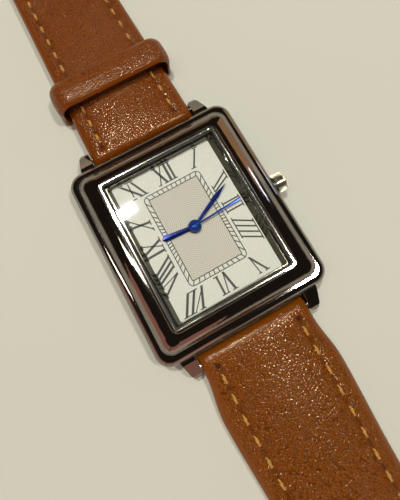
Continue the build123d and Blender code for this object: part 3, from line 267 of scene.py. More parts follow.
ring_polish = bright_metal(
    "dial_ring_polish", (0.060, 0.058, 0.040), (0.090, 0.086, 0.062), (0.14, 0.22), (1, 1, 6)
)
turned_steel = bright_metal("turned_steel", (0.50, 0.50, 0.51), (0.62, 0.62, 0.62), (0.2, 0.34), (8, 1, 1))
stamped_steel = bright_metal("stamped_steel", (0.46, 0.46, 0.47), (0.58, 0.58, 0.58), (0.28, 0.42))
cell_steel = bright_metal("cell_steel", (0.58, 0.58, 0.56), (0.68, 0.68, 0.66), (0.16, 0.30), (6, 1, 1))
brass_cut = bright_metal("cut_brass", (0.60, 0.42, 0.16), (0.78, 0.58, 0.26), (0.20, 0.34), (1, 5, 1), 0.3)
print("metals:", [m.name for m in bpy.data.materials if m.name.endswith(("steel", "brass", "polish"))])

# %% [markdown]
# The crown's rim is knurled for the fingers, and the real grooves look nearly black. Their
# shape is in the CAD solid. The material finds them by their distance from the stem's axis and
# paints shade into them, darkening them up to where the domed end begins.

# %% Knurled crown
CROWN_RADIUS, CROWN_DOME = 1.5 * MM, 0.35 * MM
GROOVE_SHADE_STARTS, GROOVE_SHADE_FULL = 0.08 * MM, 0.14 * MM


def crown_finish():
    low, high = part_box("crown")
    material, tree, shader = start_finish("crown_silver", Metallic=1.0)
    x, y, z = parts_of(tree, place(tree))
    up = maths(tree, "SUBTRACT", z, (low.z + high.z) / 2)
    off_axis = reach_of(tree, y, up)
    groove = ease(tree, off_axis, CROWN_RADIUS - GROOVE_SHADE_STARTS, CROWN_RADIUS - GROOVE_SHADE_FULL)
    groove = maths(tree, "MULTIPLY", groove, maths(tree, "LESS_THAN", x, high.x - CROWN_DOME))
    tone = shades(tree, noise(tree, 2.5, 2.0), (0.35, (0.72, 0.69, 0.55)), (0.65, (0.88, 0.85, 0.70)))
    lines = noise(tree, 0.5, 4.0, 0.6, (9, 1, 1))
    # painted shade: the knurl's grooves are darkened nearly to black
    tone = blend_colour(tree, groove, tone, (0.030, 0.028, 0.018))
    matt = ease(tree, lines, 0.3, 0.7, 0.20, 0.30)
    set_surface(tree, shader, tone, matt, relief(tree, lines, BRUSH_DEPTH, 0.4))
    return material


crown_silver = crown_finish()
print(crown_silver.name)

# %% [markdown]
# The hands are blued, a deep lacquer blue that flashes lighter where a lamp catches it. A thin
# coat over a half-metallic blue gives that: the coat makes the white glint and the colour below
# makes the blue one. Real hands of this kind are pressed with a ridge down the middle, so one side
# is lighter than the other. The CAD blades are flat plates 0.12 mm thick, and the ridge is only a
# few hundredths of a millimetre high, so the material tilts the light instead: it measures the
# distance from the hand's middle line, which needs the angle from 12 o'clock, in degrees, that
# the hand points at. The hub of the second hand is a small dome and is done the same way.

# %% Blue for the hands
HUB_RADIUS = 0.95 * MM
HOUR_POINT, MINUTE_POINT, SECOND_POINT = 275.35, 64.2, 87.0


def blued(name, points_at, dark, light, ridge, dome=0.0):
    material, tree, shader = start_finish(
        name, Metallic=0.55, Coat_Weight=0.45, Coat_Roughness=0.05, Coat_IOR=1.5
    )
    tone = shades(tree, noise(tree, 1.6, 2.0), (0.3, dark), (0.7, light))
    x, y, _ = parts_of(tree, place(tree))
    angle = math.radians(points_at)
    along_x = maths(tree, "MULTIPLY", x, math.cos(angle) / MM)
    along_y = maths(tree, "MULTIPLY", y, math.sin(angle) / MM)
    off_line = maths(tree, "ABSOLUTE", maths(tree, "SUBTRACT", along_x, along_y))
    height = maths(tree, "MULTIPLY", off_line, -ridge)
    if dome:
        share = maths(tree, "DIVIDE", reach_of(tree, x, y), HUB_RADIUS)
        inside = maths(tree, "LESS_THAN", share, 1.0)
        cap = maths(tree, "MULTIPLY", maths(tree, "MULTIPLY", share, share), -dome)
        blade = maths(tree, "MULTIPLY", height, maths(tree, "SUBTRACT", 1.0, inside))
        height = maths(tree, "ADD", maths(tree, "MULTIPLY", cap, inside), blade)
    matt = ease(tree, noise(tree, 0.12, 3.0, 0.6), 0.3, 0.7, 0.09, 0.13)
    set_surface(tree, shader, tone, matt, relief(tree, height, 1.0, 1.0))
    return material


blue_hour = blued("blued_hour_hand", HOUR_POINT, (0.003, 0.012, 0.130), (0.005, 0.022, 0.190), 0.06)
blue_minute = blued("blued_minute_hand", MINUTE_POINT, (0.004, 0.018, 0.170), (0.008, 0.036, 0.280), 0.06)
blue_second = blued(
    "blued_second_hand", SECOND_POINT, (0.010, 0.045, 0.300), (0.022, 0.095, 0.480), 0.10, dome=0.42
)
print(blue_hour.name, blue_minute.name, blue_second.name)

# %% [markdown]
# The dial is silver-white with a fine even grain. Inside the minute track it turns beige and is
# engraved with wavy rings about the hub, a machine-turned pattern about 0.28 mm from ring to
# ring. Modelling thousands of grooves would be slow, so the rings are a sum: the distance from
# the centre, pushed in and out by a wave round the centre, goes into a sine. The same value
# gives the colour and the groove, so light and pattern agree.

# %% Dial with its engraved middle
TRACK_INNER = Vector((4.13, 6.80)) * MM
RING_PITCH = 0.28 * MM
RING_WAVES, WAVE_HEIGHT = 44, 0.028 * MM


def ring_wave(tree, x, y):
    angle = maths(tree, "ARCTAN2", y, x)
    swell = maths(tree, "SINE", maths(tree, "MULTIPLY", angle, RING_WAVES))
    pushed = maths(tree, "ADD", reach_of(tree, x, y), maths(tree, "MULTIPLY", swell, WAVE_HEIGHT))
    return wave_of(tree, pushed, RING_PITCH)


def inside_track(tree, x, y):
    across = maths(tree, "LESS_THAN", maths(tree, "ABSOLUTE", x), TRACK_INNER.x)
    along = maths(tree, "LESS_THAN", maths(tree, "ABSOLUTE", y), TRACK_INNER.y)
    return maths(tree, "MULTIPLY", across, along)


def dial_finish():
    material, tree, shader = start_finish("dial_silver_white", Metallic=0.0)
    fill(tree, shader.inputs["Specular IOR Level"], 0.35)
    x, y, _ = parts_of(tree, place(tree))
    fine = noise(tree, 0.16, 4.0, 0.65)
    plain = shades(tree, fine, (0.3, (0.640, 0.655, 0.590)), (0.7, (0.795, 0.812, 0.732)))
    wave = ring_wave(tree, x, y)
    groove = ease(tree, wave, -0.9, 0.6)
    engraved = blend_colour(tree, groove, (0.46, 0.445, 0.375), (0.675, 0.660, 0.585))
    middle = inside_track(tree, x, y)
    tone = blend_colour(tree, middle, plain, engraved)
    matt = ease(tree, fine, 0.3, 0.7, 0.42, 0.58)
    height = maths(tree, "ADD", maths(tree, "MULTIPLY", groove, middle), maths(tree, "MULTIPLY", fine, 0.25))
    set_surface(tree, shader, tone, matt, relief(tree, height, 0.02, 0.6))
    return material


silver_dial = dial_finish()
print("rings across the middle:", round(TRACK_INNER.x * 2 / RING_PITCH))

# %% [markdown]
# The crystal is flat clear glass. Real glass bends the rays and then a render needs thousands of
# samples to light what lies under it, so this one is mostly see-through, and a mirror is mixed in
# that grows towards grazing angles as on glass: 2% straight on, and the fifth power of how far the
# face leans away. A Fresnel node isn't used, because on the inner face it would turn into a full
# mirror at low angles, and the dial would go black. A lamp's rays pass through both faces.

# %% Clear crystal
STRAIGHT_MIRROR, GRAZING_MIRROR = 0.02, 0.8


def crystal_finish():
    material = bpy.data.materials.new("clear_crystal")
    material.use_nodes = True
    tree = material.node_tree
    tree.nodes.clear()
    clear = add(tree, "ShaderNodeBsdfTransparent", Color=(0.995, 0.998, 0.992, 1))
    smear = ease(tree, noise(tree, 3.0, 3.0), 0.3, 0.8, 0.025, 0.045)
    shine = add(tree, "ShaderNodeBsdfGlossy", Color=(0.40, 0.40, 0.42, 1), Roughness=smear)
    leaning = add(tree, "ShaderNodeLayerWeight", Blend=0.5).outputs["Facing"]
    grazing = maths(tree, "MULTIPLY", maths(tree, "POWER", leaning, 5.0), GRAZING_MIRROR)
    edge = maths(tree, "ADD", grazing, STRAIGHT_MIRROR)
    mixed = add(tree, "ShaderNodeMixShader", Fac=edge)
    tree.links.new(clear.outputs[0], mixed.inputs[1])
    tree.links.new(shine.outputs[0], mixed.inputs[2])
    add(tree, "ShaderNodeOutputMaterial", Surface=mixed.outputs[0])
    return material


crystal_glass = crystal_finish()
print(crystal_glass.name)

# %% [markdown]
# Inside the case are plastic, brass, copper, a circuit board and rubber seals. Nobody sees them
# until the watch is taken apart, but each still gets what it is made of: moulded plastic with a
# faint orange-peel, copper wire wound in close turns, a green board with tracks. The copper is
# darkened between its turns as painted shade.

# %% Plastics, rubber and printed ink
def moulded(name, dark, light, rough=(0.4, 0.55), size_mm=0.3, depth=0.01):
    material, tree, shader = start_finish(name)
    peel = noise(tree, size_mm, 3.0, 0.5)
    tone = shades(tree, peel, (0.3, dark), (0.7, light))
    matt = ease(tree, peel, 0.3, 0.7, *rough)
    set_surface(tree, shader, tone, matt, relief(tree, peel, depth, 0.5))
    return material


holder_plastic = moulded("holder_plastic", (0.78, 0.77, 0.71), (0.84, 0.83, 0.77))
plate_plastic = moulded("plate_plastic", (0.055, 0.060, 0.070), (0.085, 0.090, 0.100), (0.45, 0.6))
seal_rubber = moulded("seal_rubber", (0.012, 0.012, 0.012), (0.030, 0.030, 0.030), (0.55, 0.7))
numeral_ink = moulded("numeral_ink", (0.014, 0.016, 0.010), (0.034, 0.036, 0.026), (0.4, 0.55), 0.2, 0.004)


WIRE_PITCH, COPPER_PITCH, COPPER_SLANT = 0.09 * MM, 0.8 * MM, 0.35


def copper_wire():
    material, tree, shader = start_finish("copper_wire", Metallic=0.9)
    x = parts_of(tree, place(tree))[0]
    round_turn = ease(tree, wave_of(tree, x, WIRE_PITCH), -1.0, 1.0)
    # painted shade: the copper darkens between the turns
    tone = shades(tree, round_turn, (0.0, (0.20, 0.06, 0.02)), (0.8, (0.72, 0.32, 0.14)))
    matt = ease(tree, noise(tree, 0.4), 0.3, 0.7, 0.22, 0.36)
    set_surface(tree, shader, tone, matt, relief(tree, round_turn, 0.03, 0.8))
    return material


def board_finish():
    material, tree, shader = start_finish("circuit_board_green")
    x, y, _ = parts_of(tree, place(tree))
    slanted = maths(tree, "ADD", x, maths(tree, "MULTIPLY", y, COPPER_SLANT))
    lane = wave_of(tree, slanted, COPPER_PITCH)
    track = ease(tree, lane, 0.55, 0.7)
    weave = shades(tree, noise(tree, 0.25, 3.0), (0.3, (0.012, 0.10, 0.045)), (0.7, (0.022, 0.15, 0.065)))
    tone = blend_colour(tree, track, weave, (0.08, 0.30, 0.12))
    matt = ease(tree, lane, -1, 1, 0.5, 0.3)
    set_surface(tree, shader, tone, matt, relief(tree, track, 0.03, 0.6))
    return material


wire_finish, green_board = copper_wire(), board_finish()
print("movement finishes:", len(bpy.data.materials))

# %% [markdown]
# The strap is saddle-tan leather with a pressed pebble grain. Each pebble is about 0.4 mm
# across and rounded, with thin creases between. A cell pattern gives both: the distance to a
# cell's middle rounds the pebble, and the distance to its border draws the creases, which are
# also darkened as painted shade. Where the leather is turned over an edge it is stretched smooth.
# The meshes carry a number for that, called pebble: one in the middle of the strap, nought at its
# turned edges, and where it is low the leather is darkened as painted shade too. The buckle half
# is a little redder than the other one.

# %% Tan leather
PEBBLE, PEBBLE_WARP, WARP_SIZE = 0.42 * MM, 0.45 * MM, 1.1 * MM
BAR_FROM_MIDDLE = 18 * MM


def pebble_cells(tree):
    warp = add(tree, "ShaderNodeTexNoise", Vector=place(tree), Scale=1 / WARP_SIZE)
    push = add(tree, "ShaderNodeVectorMath", {"operation": "SCALE"}, Vector=warp.outputs["Color"])
    fill(tree, push.inputs["Scale"], PEBBLE_WARP)
    spot = add(tree, "ShaderNodeVectorMath", {"operation": "ADD"})
    fill(tree, spot.inputs[0], place(tree))
    fill(tree, spot.inputs[1], push.outputs[0])
    flat = add(tree, "ShaderNodeVectorMath", {"operation": "MULTIPLY"}, Vector=spot.outputs[0])
    flat.inputs[1].default_value = (1.0, 1.15, 0.25)
    cells, seams = [
        add(tree, "ShaderNodeTexVoronoi", {"feature": feature}, Vector=flat.outputs[0], Scale=1 / PEBBLE)
        for feature in ("F1", "DISTANCE_TO_EDGE")
    ]
    return cells.outputs["Distance"], seams.outputs["Distance"], cells.outputs["Color"]


def leather(name, orange, red, dark_tan_and_shade, depth, rough):
    material, tree, shader = start_finish(name)
    fill(tree, shader.inputs["Specular IOR Level"], 0.60)
    fill(tree, shader.inputs["Specular Tint"], (1.0, 0.79, 0.54, 1.0))
    dome, seam, own = pebble_cells(tree)
    fine = noise(tree, 0.14, 4.0, 0.6)
    mask = add(tree, "ShaderNodeAttribute", {"attribute_name": "pebble"}).outputs["Fac"]
    amount = maths(tree, "ADD", maths(tree, "MULTIPLY", mask, 0.88), 0.12)
    rounded = ease(tree, dome, 0.75, 0.05)
    groove_line = ease(tree, seam, 0.0, 0.16)
    swell = maths(tree, "MULTIPLY", maths(tree, "ADD", rounded, groove_line), 0.45)
    height = maths(tree, "MULTIPLY", maths(tree, "ADD", swell, maths(tree, "MULTIPLY", fine, 0.14)), amount)
    y = parts_of(tree, place(tree))[1]
    half = ease(tree, y, -BAR_FROM_MIDDLE, BAR_FROM_MIDDLE)
    base = blend_colour(tree, half, orange, red)
    cloud = noise(tree, 9.0, 3.0)
    base = blend_colour(tree, ease(tree, cloud, 0.35, 0.75, 0.0, 0.10), base, dark_tan_and_shade)
    each = add(tree, "ShaderNodeSeparateXYZ", Vector=own).outputs["X"]
    own_tone = maths(tree, "MULTIPLY", each, maths(tree, "MULTIPLY", mask, 0.20))
    base = blend_colour(tree, own_tone, base, dark_tan_and_shade)
    # painted shade: the leather darkens where the pebble number is low, at its edges, by the bar, at the tip
    # and round the holes
    edge_shade = ease(tree, mask, 0.9, 0.1, 0.0, 0.30)
    base = blend_colour(tree, edge_shade, base, dark_tan_and_shade)
    # painted shade: the creases between the pebbles are darkened
    line = maths(tree, "MULTIPLY", ease(tree, seam, 0.18, 0.0), maths(tree, "MULTIPLY", mask, 0.76))
    # painted shade: the stitch_shade number darkens the stitch grooves and the rims of the punched holes
    painted_stitch_shade = add(tree, "ShaderNodeAttribute", {"attribute_name": "stitch_shade"}).outputs["Fac"]
    tone = blend_colour(tree, maths(tree, "MAXIMUM", line, painted_stitch_shade), base, dark_tan_and_shade)
    matt = ease(tree, groove_line, 0.0, 1.0, *rough)
    set_surface(tree, shader, tone, matt, relief(tree, height, depth, 0.9))
    return material


TAN, RED_TAN, DARK_TAN_AND_SHADE = (0.236, 0.060, 0.001), (0.228, 0.050, 0.001), (0.044, 0.008, 0.001)
strap_leather = leather("strap_leather", TAN, RED_TAN, DARK_TAN_AND_SHADE, depth=0.062, rough=(0.23, 0.17))
print(strap_leather.name)

# %% [markdown]
# Under the strap is a lining of plain smooth leather that lies on the wrist. It is paler and has
# only a fine pore pattern. The thread is waxed golden polyester, so it is smoother and shinier
# than the leather, and its two plies are real twisted strands further down.

# %% Lining, painted hole shade and thread
def lining_leather():
    material, tree, shader = start_finish("lining_leather")
    pores = noise(tree, 0.22, 5.0, 0.7)
    cloud = noise(tree, 7.0, 3.0)
    tone = shades(tree, cloud, (0.3, (0.250, 0.120, 0.050)), (0.7, (0.330, 0.170, 0.080)))
    tone = blend_colour(tree, ease(tree, pores, 0.6, 0.35, 0, 0.4), tone, (0.12, 0.05, 0.02))
    matt = ease(tree, pores, 0.3, 0.7, 0.5, 0.65)
    set_surface(tree, shader, tone, matt, relief(tree, pores, 0.03, 0.6))
    return material


def thread_finish():
    material, tree, shader = start_finish("golden_thread", Sheen_Weight=0.2, Sheen_Roughness=0.4)
    fibre = noise(tree, 0.09, 3.0, 0.6, (1, 3, 1))
    tone = shades(tree, fibre, (0.25, (0.34, 0.14, 0.015)), (0.75, (0.68, 0.38, 0.06)))
    matt = ease(tree, fibre, 0.3, 0.7, 0.35, 0.5)
    set_surface(tree, shader, tone, matt, relief(tree, fibre, 0.015, 0.5))
    return material


under_leather, gold_thread = lining_leather(), thread_finish()
# painted shade: a near-black finish stands in for the depth of each awl hole
hole_shade_finish = moulded("awl_hole_painted_shade", (0.030, 0.006, 0.002), (0.070, 0.014, 0.004), (0.6, 0.8), 0.15, 0.02)
hole_shade_finish.node_tree.nodes["Principled BSDF"].inputs["Specular IOR Level"].default_value = 0.1
print(under_leather.name, gold_thread.name, hole_shade_finish.name)

# %% [markdown]
# Every metal and plastic CAD node keeps its mesh and takes one of these finishes in its material
# slots. A small table says which, so a missing node shows at once.

# %% Put the finishes on the CAD nodes
FINISHES = {
    gunmetal_plain: ["case_body", "case_back", "buckle_frame", "buckle_tongue"],
    gunmetal_banded: ["bezel"],
    crystal_glass: ["crystal"],
    ring_polish: ["dial_ring"],
    silver_dial: ["dial"],
    blue_hour: ["hour_hand"],
    blue_minute: ["minute_hand"],
    blue_second: ["second_hand"],
    crown_silver: ["crown"],
    turned_steel: ["crown_tube", "stem", "clutch_pinion", "movement_screws", "strap_bar_12", "strap_bar_6",
                   "strap_bar_pin_12_right", "strap_bar_pin_12_left", "strap_bar_pin_6_right",
                   "strap_bar_pin_6_left", "buckle_bar", "quartz_can"],
    stamped_steel: ["coil_core", "stator", "battery_clamp", "setting_lever", "rotor"],
    cell_steel: ["battery"],
    brass_cut: ["train_bridge", "fifth_wheel", "seconds_wheel", "third_wheel", "cannon_pinion",
                "minute_wheel", "hour_wheel"],
    holder_plastic: ["movement_holder"],
    plate_plastic: ["main_plate"],
    seal_rubber: ["crystal_gasket", "case_back_gasket", "crown_gasket"],
    wire_finish: ["coil_winding"],
    green_board: ["circuit_board"],
}


def dress(obj, material):
    if not obj.material_slots:
        obj.data.materials.append(material)
    for slot in obj.material_slots:
        slot.material = material


dressed = set()
for material, names in FINISHES.items():
    for name in names:
        dress(frame["nodes"][name], material)
        dressed.add(name)
print("still bare:", sorted(set(frame["nodes"]) - dressed))

# %% [markdown]
# The strap. Each half is a padded upper over a flat lining. Seen from the end, the upper is
# highest in the middle, dips at each row of stitches where the thread pulls it down, and rolls
# over at its edges. Cloth simulation could puff it up, but a strap keeps a maker's exact outline,
# so the surface is worked out point by point: how wide the half is at each reach from its bar,
# how high its floor, its edge and its crown are, and where the stitches run. Sizes here are in
# millimetres and repeat the CAD source's.

# %% Outline and height of both strap halves
BAR_Y, BAR_Z, LOOP = 17.8, 2.2, 1.55
LONG, SHORT = 115.0, 75.0
BUCKLE_BAR_Z, BUCKLE_LOOP = 2.45, 1.15
HALF_AT_BAR, HALF_WIDEST = 8.88, 9.8
FLARE_START, FLARE_LENGTH = 0.9, 7.6
TAPER_START, TAPER_SLOPE, DRAWN_IN, DRAWN_LENGTH = 9.0, 0.0231, 0.35, 14.0
TIP_START, TIP_HALF, TIP_SLOPE, TIP_ROUND, CAP_START = 103.0, 7.5, 0.4862, 2.64, 1.14
FLOOR_AT_BAR, EDGE_AT_BAR, CROWN_AT_BAR = 0.65, 2.8, 3.1
LONG_DROP, FALL_START, FALL_END = 6.2, 7.5, 48.0
SHORT_RISE, SHORT_TAPER = 3.2, 1.88


def eased(low, high, share):
    share = np.clip(share, 0, 1)
    return low + (high - low) * (1 - np.cos(np.pi * share)) / 2


def long_half(reach):
    flared = eased(HALF_AT_BAR, HALF_WIDEST, (reach - FLARE_START) / FLARE_LENGTH)
    drawn_in = eased(0.0, DRAWN_IN, (reach - TAPER_START) / DRAWN_LENGTH)
    half = flared - drawn_in - TAPER_SLOPE * np.clip(reach - TAPER_START, 0, None)
    half = np.minimum(half, TIP_HALF - TIP_SLOPE * (reach - TIP_START))
    centre = LONG - TIP_ROUND
    cap = np.sqrt(np.clip(TIP_ROUND ** 2 - (reach - centre) ** 2, 1e-6, None))
    return np.where(reach > centre + CAP_START, cap, half)


def long_levels(reach):
    drop = reach / LONG_DROP
    floor = eased(FLOOR_AT_BAR, 0.0, drop)
    along = np.clip((reach - FALL_START) / (LONG - FALL_START), 0, 1)
    edge = np.where(reach < LONG_DROP, eased(EDGE_AT_BAR, 2.0, drop), 2.0 - 0.3 * along)
    fall = eased(3.5, 2.5, (reach - FALL_START) / (FALL_END - FALL_START))
    tail = 2.5 - 0.55 * (reach - FALL_END) / (LONG - FALL_END)
    later = np.where(reach < FALL_END, fall, tail)
    return floor, edge, np.where(reach < LONG_DROP, eased(CROWN_AT_BAR, 3.5, drop), later)


def short_half(reach):
    tapered = HALF_AT_BAR - SHORT_TAPER * (reach - SHORT_RISE) / (SHORT - SHORT_RISE)
    return np.where(reach < SHORT_RISE, HALF_AT_BAR, tapered)


def short_levels(reach):
    rise = reach / SHORT_RISE
    along = np.clip((reach - SHORT_RISE) / (SHORT - SHORT_RISE), 0, 1)
    floor = eased(FLOOR_AT_BAR, 1.3, rise)
    edge = np.where(reach < SHORT_RISE, eased(EDGE_AT_BAR, 1.9, rise), 1.9 - 0.2 * along)
    crown = np.where(reach < SHORT_RISE, eased(CROWN_AT_BAR, 2.75, rise), 2.75 - 0.65 * along)
    hump = eased(0.0, 1.0, (reach - SHORT + SHORT_RISE) / SHORT_RISE)
    return floor, edge + hump * (2.15 - edge), crown + hump * (2.3 - crown)


print("half widths at 20 mm:", float(long_half(np.array(20.0))), float(short_half(np.array(20.0))))

# %% [markdown]
# Each half is described by one small record: its outline, its levels, which way it runs from the
# case, where its stitches go and where its holes are. The same functions then build the upper,
# the lining and the stitches of both halves, so they always fit each other.

# %% The two halves as records
FIRST_HOLE, HOLE_PITCH = 22.0, 6.5


def row_of(*pairs):
    reaches, places = zip(*pairs)
    return lambda reach: np.interp(reach, reaches, places)


HALVES = {
    "6": dict(
        side=-1, length=LONG, half=long_half, levels=long_levels, lining_from=4.6, lining_to=LONG,
        row=row_of((0, 6.65), (8.7, 6.9), (20, 6.65), (60, 5.75), (101, 4.75), (104.5, 3.85), (112.3, 0.05)),
        row_from=2.15, row_to=112.0, pitch=3.08, dash=1.65, body="strap_6", plain_end=(-1.5, 0.9),
        holes=[LONG - FIRST_HOLE - HOLE_PITCH * n for n in range(7)],
    ),
    "12": dict(
        side=1, length=SHORT, half=short_half, levels=short_levels, lining_from=3.2, lining_to=SHORT - 2.6,
        row=row_of((0, 6.5), (30, 5.95), (72, 4.5)),
        row_from=1.8, row_to=71.0, pitch=2.8, dash=1.3, body="strap_12", plain_end=(-1.5, 0.3),
        holes=[],
    ),
}


def world(info, x, reach, z):
    return np.stack([x, info["side"] * (BAR_Y + reach), z], -1) * MM


print("stitch rows:", {name: round(info["row_to"] - info["row_from"], 1) for name, info in HALVES.items()})

# %% [markdown]
# The surface itself. The top is a parabola from edge to edge. From it come off the groove under
# the thread, a shallow ring round each punched hole, and the rolled edge. Where the leather wraps
# round a bar, its last strip bends down along a rounded curve.

# %% Height of the upper at any point
ROLL_WIDE, ROLL_DEEP = 1.5, 0.8
GROOVE_WIDE, GROOVE_DEEP = 0.42, 0.20
DIP_AT, DIP_WIDE, DIP_DEEP = 0.9, 0.35, 0.16


def rolled(distance):
    t = np.clip((ROLL_WIDE - distance) / ROLL_WIDE, 0, 1)
    return ROLL_DEEP * (1 - np.sqrt(1 - t ** 2))


def groove(info, x, reach):
    off = (np.abs(x) - info["row"](reach)) / GROOVE_WIDE
    started = eased(0, 1, (reach - info["row_from"] + 2.6) / 0.8)
    not_over = eased(1, 0, (reach - info["row_to"] - 0.6) / 0.8)
    turn = 2 * np.pi * (reach - info["row_from"] - info["dash"] / 2) / info["pitch"]
    return np.exp(-off ** 2) * (started * not_over) * (0.75 - 0.25 * np.cos(turn))


def hole_distance(info, x, reach):
    far = np.full(np.broadcast(x, reach).shape, 99.0)
    for at in info["holes"]:
        far = np.minimum(far, np.hypot(x, reach - at))
    return far


def top_height(info, x, reach):
    inner = np.clip(reach, 0, info["length"])
    half = info["half"](inner)
    floor, edge, crown = info["levels"](inner)
    u = np.clip(np.abs(x) / half, 0, 1)
    pad = 1 - u ** 2
    z = floor + edge + (crown - edge) * pad
    z = z - GROOVE_DEEP * groove(info, x, reach) - rolled(half - np.abs(x))
    return z - DIP_DEEP * np.exp(-((hole_distance(info, x, reach) - DIP_AT) / DIP_WIDE) ** 2)


by_case = top_height(HALVES["6"], np.array(0.0), np.array(8.0))
print("crown height by the case in mm:", round(float(by_case), 2))

# %% Grid of the upper, station by station
COLUMNS, STATION_STEP = 63, 0.55
LINING_THICK, UPPER_LOW, UPPER_THINNEST = 0.7, 0.71, 0.25
WRAP_POWER, BAR_INSET, BUCKLE_INSET = 2.7, 0.18, 0.3


def upper_stations(info):
    round_end = -LOOP * np.cos(np.linspace(0.10, math.pi / 2, 9))
    start, stop = info["lining_from"], info["length"]
    body = np.arange(0.35, stop, STATION_STEP)
    body = body[np.abs(body - start) > 0.2]
    body = np.sort(np.concatenate([body, [start - 0.03, start + 0.03]]))
    if info["side"] > 0:
        last = stop + BUCKLE_LOOP * np.sin(np.linspace(0.0, math.pi / 2 - 0.10, 8))
    else:
        last = stop - np.array([0.30, 0.18, 0.09, 0.03])
        body = body[body < stop - 0.4]
    return np.concatenate([round_end, body, last])


def wrap_share(info, reach):
    bent = np.abs(np.clip(reach, -LOOP, 0) / LOOP) ** WRAP_POWER
    near = np.clip(1 - bent, 0, 1) ** (1 / WRAP_POWER)
    if info["side"] < 0:
        return near, np.ones_like(near)
    over = np.clip(reach - info["length"], 0, BUCKLE_LOOP) / BUCKLE_LOOP
    return near, np.sqrt(np.clip(1 - over ** 2, 0, 1))


def upper_grid(info):
    reach = upper_stations(info)[:, None]
    s = np.sin(np.linspace(-math.pi / 2, math.pi / 2, COLUMNS))[None, :]
    inner = np.clip(reach, 0, info["length"])
    half = info["half"](inner)
    near, far = wrap_share(info, reach)
    half = half - BAR_INSET * (1 - near) - BUCKLE_INSET * (1 - far)
    x = s * half
    top = top_height(info, x * info["half"](inner) / half, reach)
    floor = info["levels"](inner)[0] + 0 * x
    low = np.where(reach > info["lining_from"], floor + UPPER_LOW, floor)
    if info["side"] > 0:
        low = np.where(reach > info["lining_to"], floor, low)
    top = np.maximum(top, low + UPPER_THINNEST)
    for share, pivot in ((near, BAR_Z), (far, BUCKLE_BAR_Z)):
        top = pivot + (top - pivot) * share if share.min() < 1 else top
        low = pivot + (low - pivot) * share if share.min() < 1 else low
    return x, reach + 0 * x, top, low


print("stations and columns of the long half:", upper_grid(HALVES["6"])[0].shape)

# %% [markdown]
# Points become a closed mesh: one sheet for the top, one for the underside, walls between their
# borders. Holes for the bars, the tongue and the buckle's tongue slot are cut afterwards with
# Boolean modifiers, which are applied at once so that nothing is left to work out later. The
# pebble number and the stitch shade, a painted shade along the stitch grooves and round the
# holes, are set last, on every point the cut left.

# %% Building and cutting closed meshes
def new_mesh(name, points, faces, material, smooth=40.0):
    mesh = bpy.data.meshes.new(name)
    mesh.from_pydata([tuple(p) for p in points], [], faces)
    mesh.validate()
    made = bmesh.new()
    made.from_mesh(mesh)
    bmesh.ops.recalc_face_normals(made, faces=made.faces)
    made.to_mesh(mesh)
    made.free()
    mesh.materials.append(material)
    mesh.shade_smooth()
    mesh.set_sharp_from_angle(angle=math.radians(smooth))
    obj = bpy.data.objects.new(name, mesh)
    bpy.context.collection.objects.link(obj)
    return obj


def closed_sheet(name, info, x, reach, top, low, material, tuck=0.08):
    rows, columns = x.shape
    upper = world(info, x, reach, top).reshape(-1, 3)
    narrow = x * (1 - tuck / np.abs(x[:, -1:]).clip(0.3))
    under = world(info, narrow, reach, low).reshape(-1, 3)
    count = rows * columns
    faces = []
    for r in range(rows - 1):
        for c in range(columns - 1):
            a = r * columns + c
            faces.append((a, a + 1, a + columns + 1, a + columns))
            faces.append((count + a, count + a + columns, count + a + columns + 1, count + a + 1))
        for c in (0, columns - 1):
            a = r * columns + c
            faces.append((a, a + columns, count + a + columns, count + a))
    for r in (0, rows - 1):
        for c in range(columns - 1):
            a = r * columns + c
            faces.append((a, a + 1, count + a + 1, count + a))
    return new_mesh(name, np.concatenate([upper, under]), faces, material)


def tube_faces(stations, ring, closed=False):
    faces = []
    for r in range(stations if closed else stations - 1):
        near, far = r * ring, (r + 1) % stations * ring
        for c in range(ring):
            d = (c + 1) % ring
            faces.append((near + c, near + d, far + d, far + c))
    return faces


def finished_cutter(made, placed):
    mesh = bpy.data.meshes.new("cutter")
    made.to_mesh(mesh)
    made.free()
    mesh.transform(placed)
    return mesh


def rod_cutter(radius, centre, axis, length):
    made = bmesh.new()
    bmesh.ops.create_cone(
        made, cap_ends=True, segments=40, radius1=radius * MM, radius2=radius * MM, depth=length * MM
    )
    turn = Vector((0, 0, 1)).rotation_difference(Vector(axis)).to_matrix().to_4x4()
    return finished_cutter(made, Matrix.Translation(Vector(centre) * MM) @ turn)


def cut(obj, meshes):
    for mesh in meshes:
        cutter = bpy.data.objects.new("cutter", mesh)
        bpy.context.collection.objects.link(cutter)
        modifier = obj.modifiers.new("cut", "BOOLEAN")
        modifier.object, modifier.operation, modifier.solver = cutter, "DIFFERENCE", "EXACT"
        graph = bpy.context.evaluated_depsgraph_get()
        result = bpy.data.meshes.new_from_object(obj.evaluated_get(graph))
        obj.modifiers.clear()
        obj.data = result
        bpy.data.objects.remove(cutter)
    obj.data.shade_smooth()
    obj.data.set_sharp_from_angle(angle=math.radians(40))


print("mesh helpers ready")

# %% Cutters of each half, and the numbers for the leather
PUNCHED, SPRING_BAR, BUCKLE_BAR = 0.95, 0.80, 0.70
PLAIN_EDGE, PLAIN_FADE = 0.45, 0.7
SHADE_WIDE, SHADE_DARK = 0.26, 0.85


def slot_cutter(info):
    made = bmesh.new()
    bmesh.ops.create_cube(made, size=1.0)
    middle = Vector((0, BAR_Y + info["length"] + 1.4, 3.0)) * MM
    size = Matrix.Diagonal(Vector((2.4 * MM, 8.0 * MM, 8.0 * MM, 1)))
    return finished_cutter(made, Matrix.Translation(middle) @ size)


